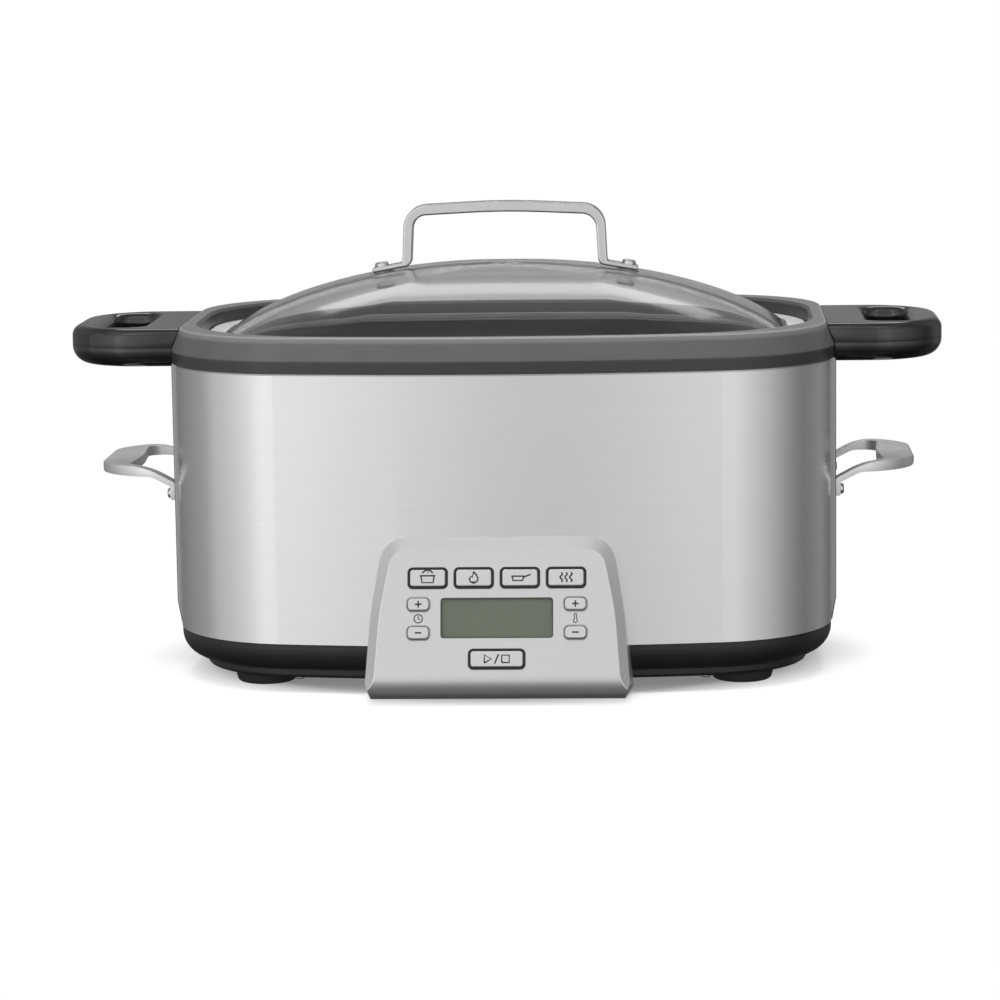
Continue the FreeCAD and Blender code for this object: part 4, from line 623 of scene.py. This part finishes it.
# %% Panel frame and sign maker
PANEL_TILT = 18.0
PANEL_FOOT = Matrix.Translation((0.0, POT_AXIS_Y - 0.153, 0.017))
PANEL = PANEL_FOOT @ turned(90.0 - PANEL_TILT, "X")
PRESS_FLAT = Matrix.Diagonal((1.0, 1.0, 0.16, 1.0))
PRINT_SMOOTH_ANGLE = math.radians(60.0)
ink = new_material("dark_print", (0.025, 0.025, 0.028), 0.0, 0.5)
roughen(ink, noise_field(ink, 900.0), 0.42, 0.6)
tint(ink, noise_field(ink, 300.0), (0.02, 0.02, 0.023), (0.032, 0.032, 0.035))


def ring(radius, u=0.0, v=0.0, start=0.0, end=360.0, steps=24):
    """Points on an arc, in millimetres."""
    angles = [math.radians(start + (end - start) * i / steps) for i in range(steps + 1)]
    return [(u + radius * math.cos(a), v + radius * math.sin(a)) for a in angles]


def sign(name, strokes, centre, height, body, thick, size=1.0):
    """Lay strokes on the panel, all in millimetres, round a centre and at a height over its face."""
    curve = bpy.data.curves.new(name, "CURVE")
    curve.dimensions = "3D"
    curve.bevel_depth = thick / 2000.0
    curve.bevel_resolution = 2
    curve.use_fill_caps = True
    for stroke in strokes:
        spline = curve.splines.new("POLY")
        spline.points.add(len(stroke) - 1)
        for point, (x, y) in zip(spline.points, stroke):
            point.co = (x * size / 1000.0, y * size / 1000.0, 0.0, 1.0)
    piece = bpy.data.objects.new(name, curve)
    bpy.context.scene.collection.objects.link(piece)
    only(piece)
    bpy.ops.object.convert(target="MESH")
    laid = Matrix.Translation([length / 1000.0 for length in (*centre, height)])
    piece.matrix_world = PANEL @ laid @ PRESS_FLAT
    bpy.ops.object.transform_apply(location=True, rotation=True, scale=True)
    bpy.ops.object.shade_smooth_by_angle(angle=PRINT_SMOOTH_ANGLE)
    piece.data.materials.append(ink)
    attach(piece, body)
    print(name, "on", body)


# %% Strokes of the keys' signs
wave = [(0.55 * math.sin(i * math.pi / 4), -2.2 + i * 0.37) for i in range(13)]
MINUS = [[(-1.5, 0.0), (1.5, 0.0)]]
PLUS = MINUS + [[(0.0, -1.5), (0.0, 1.5)]]
SIGNS = {
    "mode_1": [[(-3.0, 1.0), (-2.6, -2.2), (2.6, -2.2), (3.0, 1.0)], [(-3.6, 1.0), (3.6, 1.0)],
               ring(2.6, 0.0, 1.0, 25.0, 155.0, 10), [(0.0, 2.5), (0.0, 2.9)]],
    "mode_2": [[(0.0, 2.8), (1.3, 1.2), (2.0, -0.4), (1.5, -1.9), (0.0, -2.6), (-1.5, -1.9),
                (-2.0, -0.4), (-1.1, 0.7), (-0.6, 0.2), (0.0, 2.8)],
               ring(0.7, 0.0, -1.5, 200.0, 340.0, 8)],
    "mode_3": [[(-3.6, 0.6), (-3.1, -1.4), (1.3, -1.4), (1.8, 0.6)], [(-3.9, 0.6), (2.1, 0.6)],
               [(1.8, 0.2), (5.0, 1.4)]],
    "mode_4": [[(x + shift, y) for x, y in wave] for shift in (-2.2, 0.0, 2.2)],
    "time_up": PLUS,
    "time_down": MINUS,
    "temp_up": PLUS,
    "temp_down": MINUS,
    "start_stop": [[(-5.6, -1.9), (-5.6, 1.9), (-2.4, 0.0), (-5.6, -1.9)], [(-0.9, -2.2), (0.9, 2.2)],
                   [(2.4, -1.7), (2.4, 1.7), (5.8, 1.7), (5.8, -1.7), (2.4, -1.7)]],
}
print(len(SIGNS), "signs for keys")

# %% Signs on the keys and the face
KEY_TOP, FACE = 1.1, 0.0
KEY_STROKE, KEY_SIZE = 0.85, 1.15
MODE_PITCH, MODE_ROW, START_ROW = 24.4, 51.6, 8.4
STEP_COLUMN, UP_ROW, MARK_ROW, DOWN_ROW = 41.5, 37.6, 30.0, 22.4
CENTRES = {"mode_%d" % (i + 1): (MODE_PITCH * (i - 1.5), MODE_ROW) for i in range(4)}
CENTRES["start_stop"] = (0.0, START_ROW)
for name, column in (("time", -STEP_COLUMN), ("temp", STEP_COLUMN)):
    CENTRES[name + "_up"] = (column, UP_ROW)
    CENTRES[name + "_down"] = (column, DOWN_ROW)
for key, strokes in SIGNS.items():
    sign("sign_" + key, strokes, CENTRES[key], KEY_TOP, "key_" + key, KEY_STROKE, KEY_SIZE)

clock = [ring(2.2), [(0.0, 1.4), (0.0, 0.0), (1.0, -0.5)]]
thermometer = [ring(1.0, 0.0, -1.4, 125.0, 415.0, 16), [(-0.57, -0.55), (-0.57, 1.9)],
               [(0.57, -0.55), (0.57, 1.9)], ring(0.57, 0.0, 1.9, 0.0, 180.0, 8)]
sign("sign_clock", clock, (-STEP_COLUMN, MARK_ROW), FACE, "base_unit", thick=0.6)
sign("sign_thermometer", thermometer, (STEP_COLUMN, MARK_ROW), FACE, "base_unit", thick=0.5)

# %% [markdown]
# ## Inside the cooker
# Under the pot are a sheet liner, a cast heating plate with its sprung sensor, and the
# electronics. They show only when the pot is lifted out, or not at all, yet each gets the
# finish of its real material.

# %% Liner, plate and sheathed element
sheet_steel = new_material("plain_sheet", (0.58, 0.58, 0.585), 1.0, 0.4)
roughen(sheet_steel, noise_field(sheet_steel, 120.0), 0.38, 0.45)
tint(sheet_steel, noise_field(sheet_steel, 15.0), (0.56, 0.56, 0.565), (0.6, 0.6, 0.605))
dress(["inner_liner", "sensor_cup", "sensor_spring", "plate_standoffs", "bottom_cover_screws",
       "pot_handle_screws", "board_screws"], sheet_steel)

casting = new_material("cast_plate", (0.66, 0.66, 0.67), 1.0, 0.45)
pits = noise_field(casting, 600.0)
roughen(casting, pits, 0.38, 0.55)
tint(casting, noise_field(casting, 30.0), (0.6, 0.6, 0.61), (0.7, 0.7, 0.71))
relief(casting, pits, 0.00004, 0.5)
dress(["heating_plate", "sensor_cap"], casting)

sheath = new_material("dull_sheath", (0.16, 0.155, 0.15), 0.6, 0.55)
tint(sheath, noise_field(sheath, 90.0), (0.12, 0.115, 0.11), (0.2, 0.195, 0.185))
dress(["heating_element", "thermal_fuse"], sheath)

# %% Boards, plastics and lead
board = new_material("circuit_board", (0.03, 0.16, 0.07), 0.0, 0.4)
tint(board, noise_field(board, 260.0), (0.025, 0.13, 0.055), (0.04, 0.19, 0.085))
dress(["power_board", "control_board"], board)

dark = new_material("dark_parts", (0.03, 0.03, 0.034), 0.0, 0.5)
tint(dark, noise_field(dark, 150.0), (0.025, 0.025, 0.028), (0.04, 0.04, 0.044))
dress(["board_posts", "power_relay", "power_transformer", "tact_switches"], dark)

lead = new_material("grey_lead", (0.42, 0.43, 0.44), 0.0, 0.5)
tint(lead, noise_field(lead, 1.0, (1600.0, 3.0, 3.0), 1.0), (0.34, 0.35, 0.36), (0.48, 0.49, 0.5))
dress(["ribbon_cable"], lead)

# %% [markdown]
# ## Nodes without a finish
# Every solid should have a finish by now, so any that has none is named.

# %% Name nodes without a finish
def dressed(node):
    """Whether a node has a finish made of nodes."""
    materials = node.data.materials
    return bool(materials) and materials[0].use_nodes


print("nodes without a finish:", [name for name, node in nodes.items() if not dressed(node)])
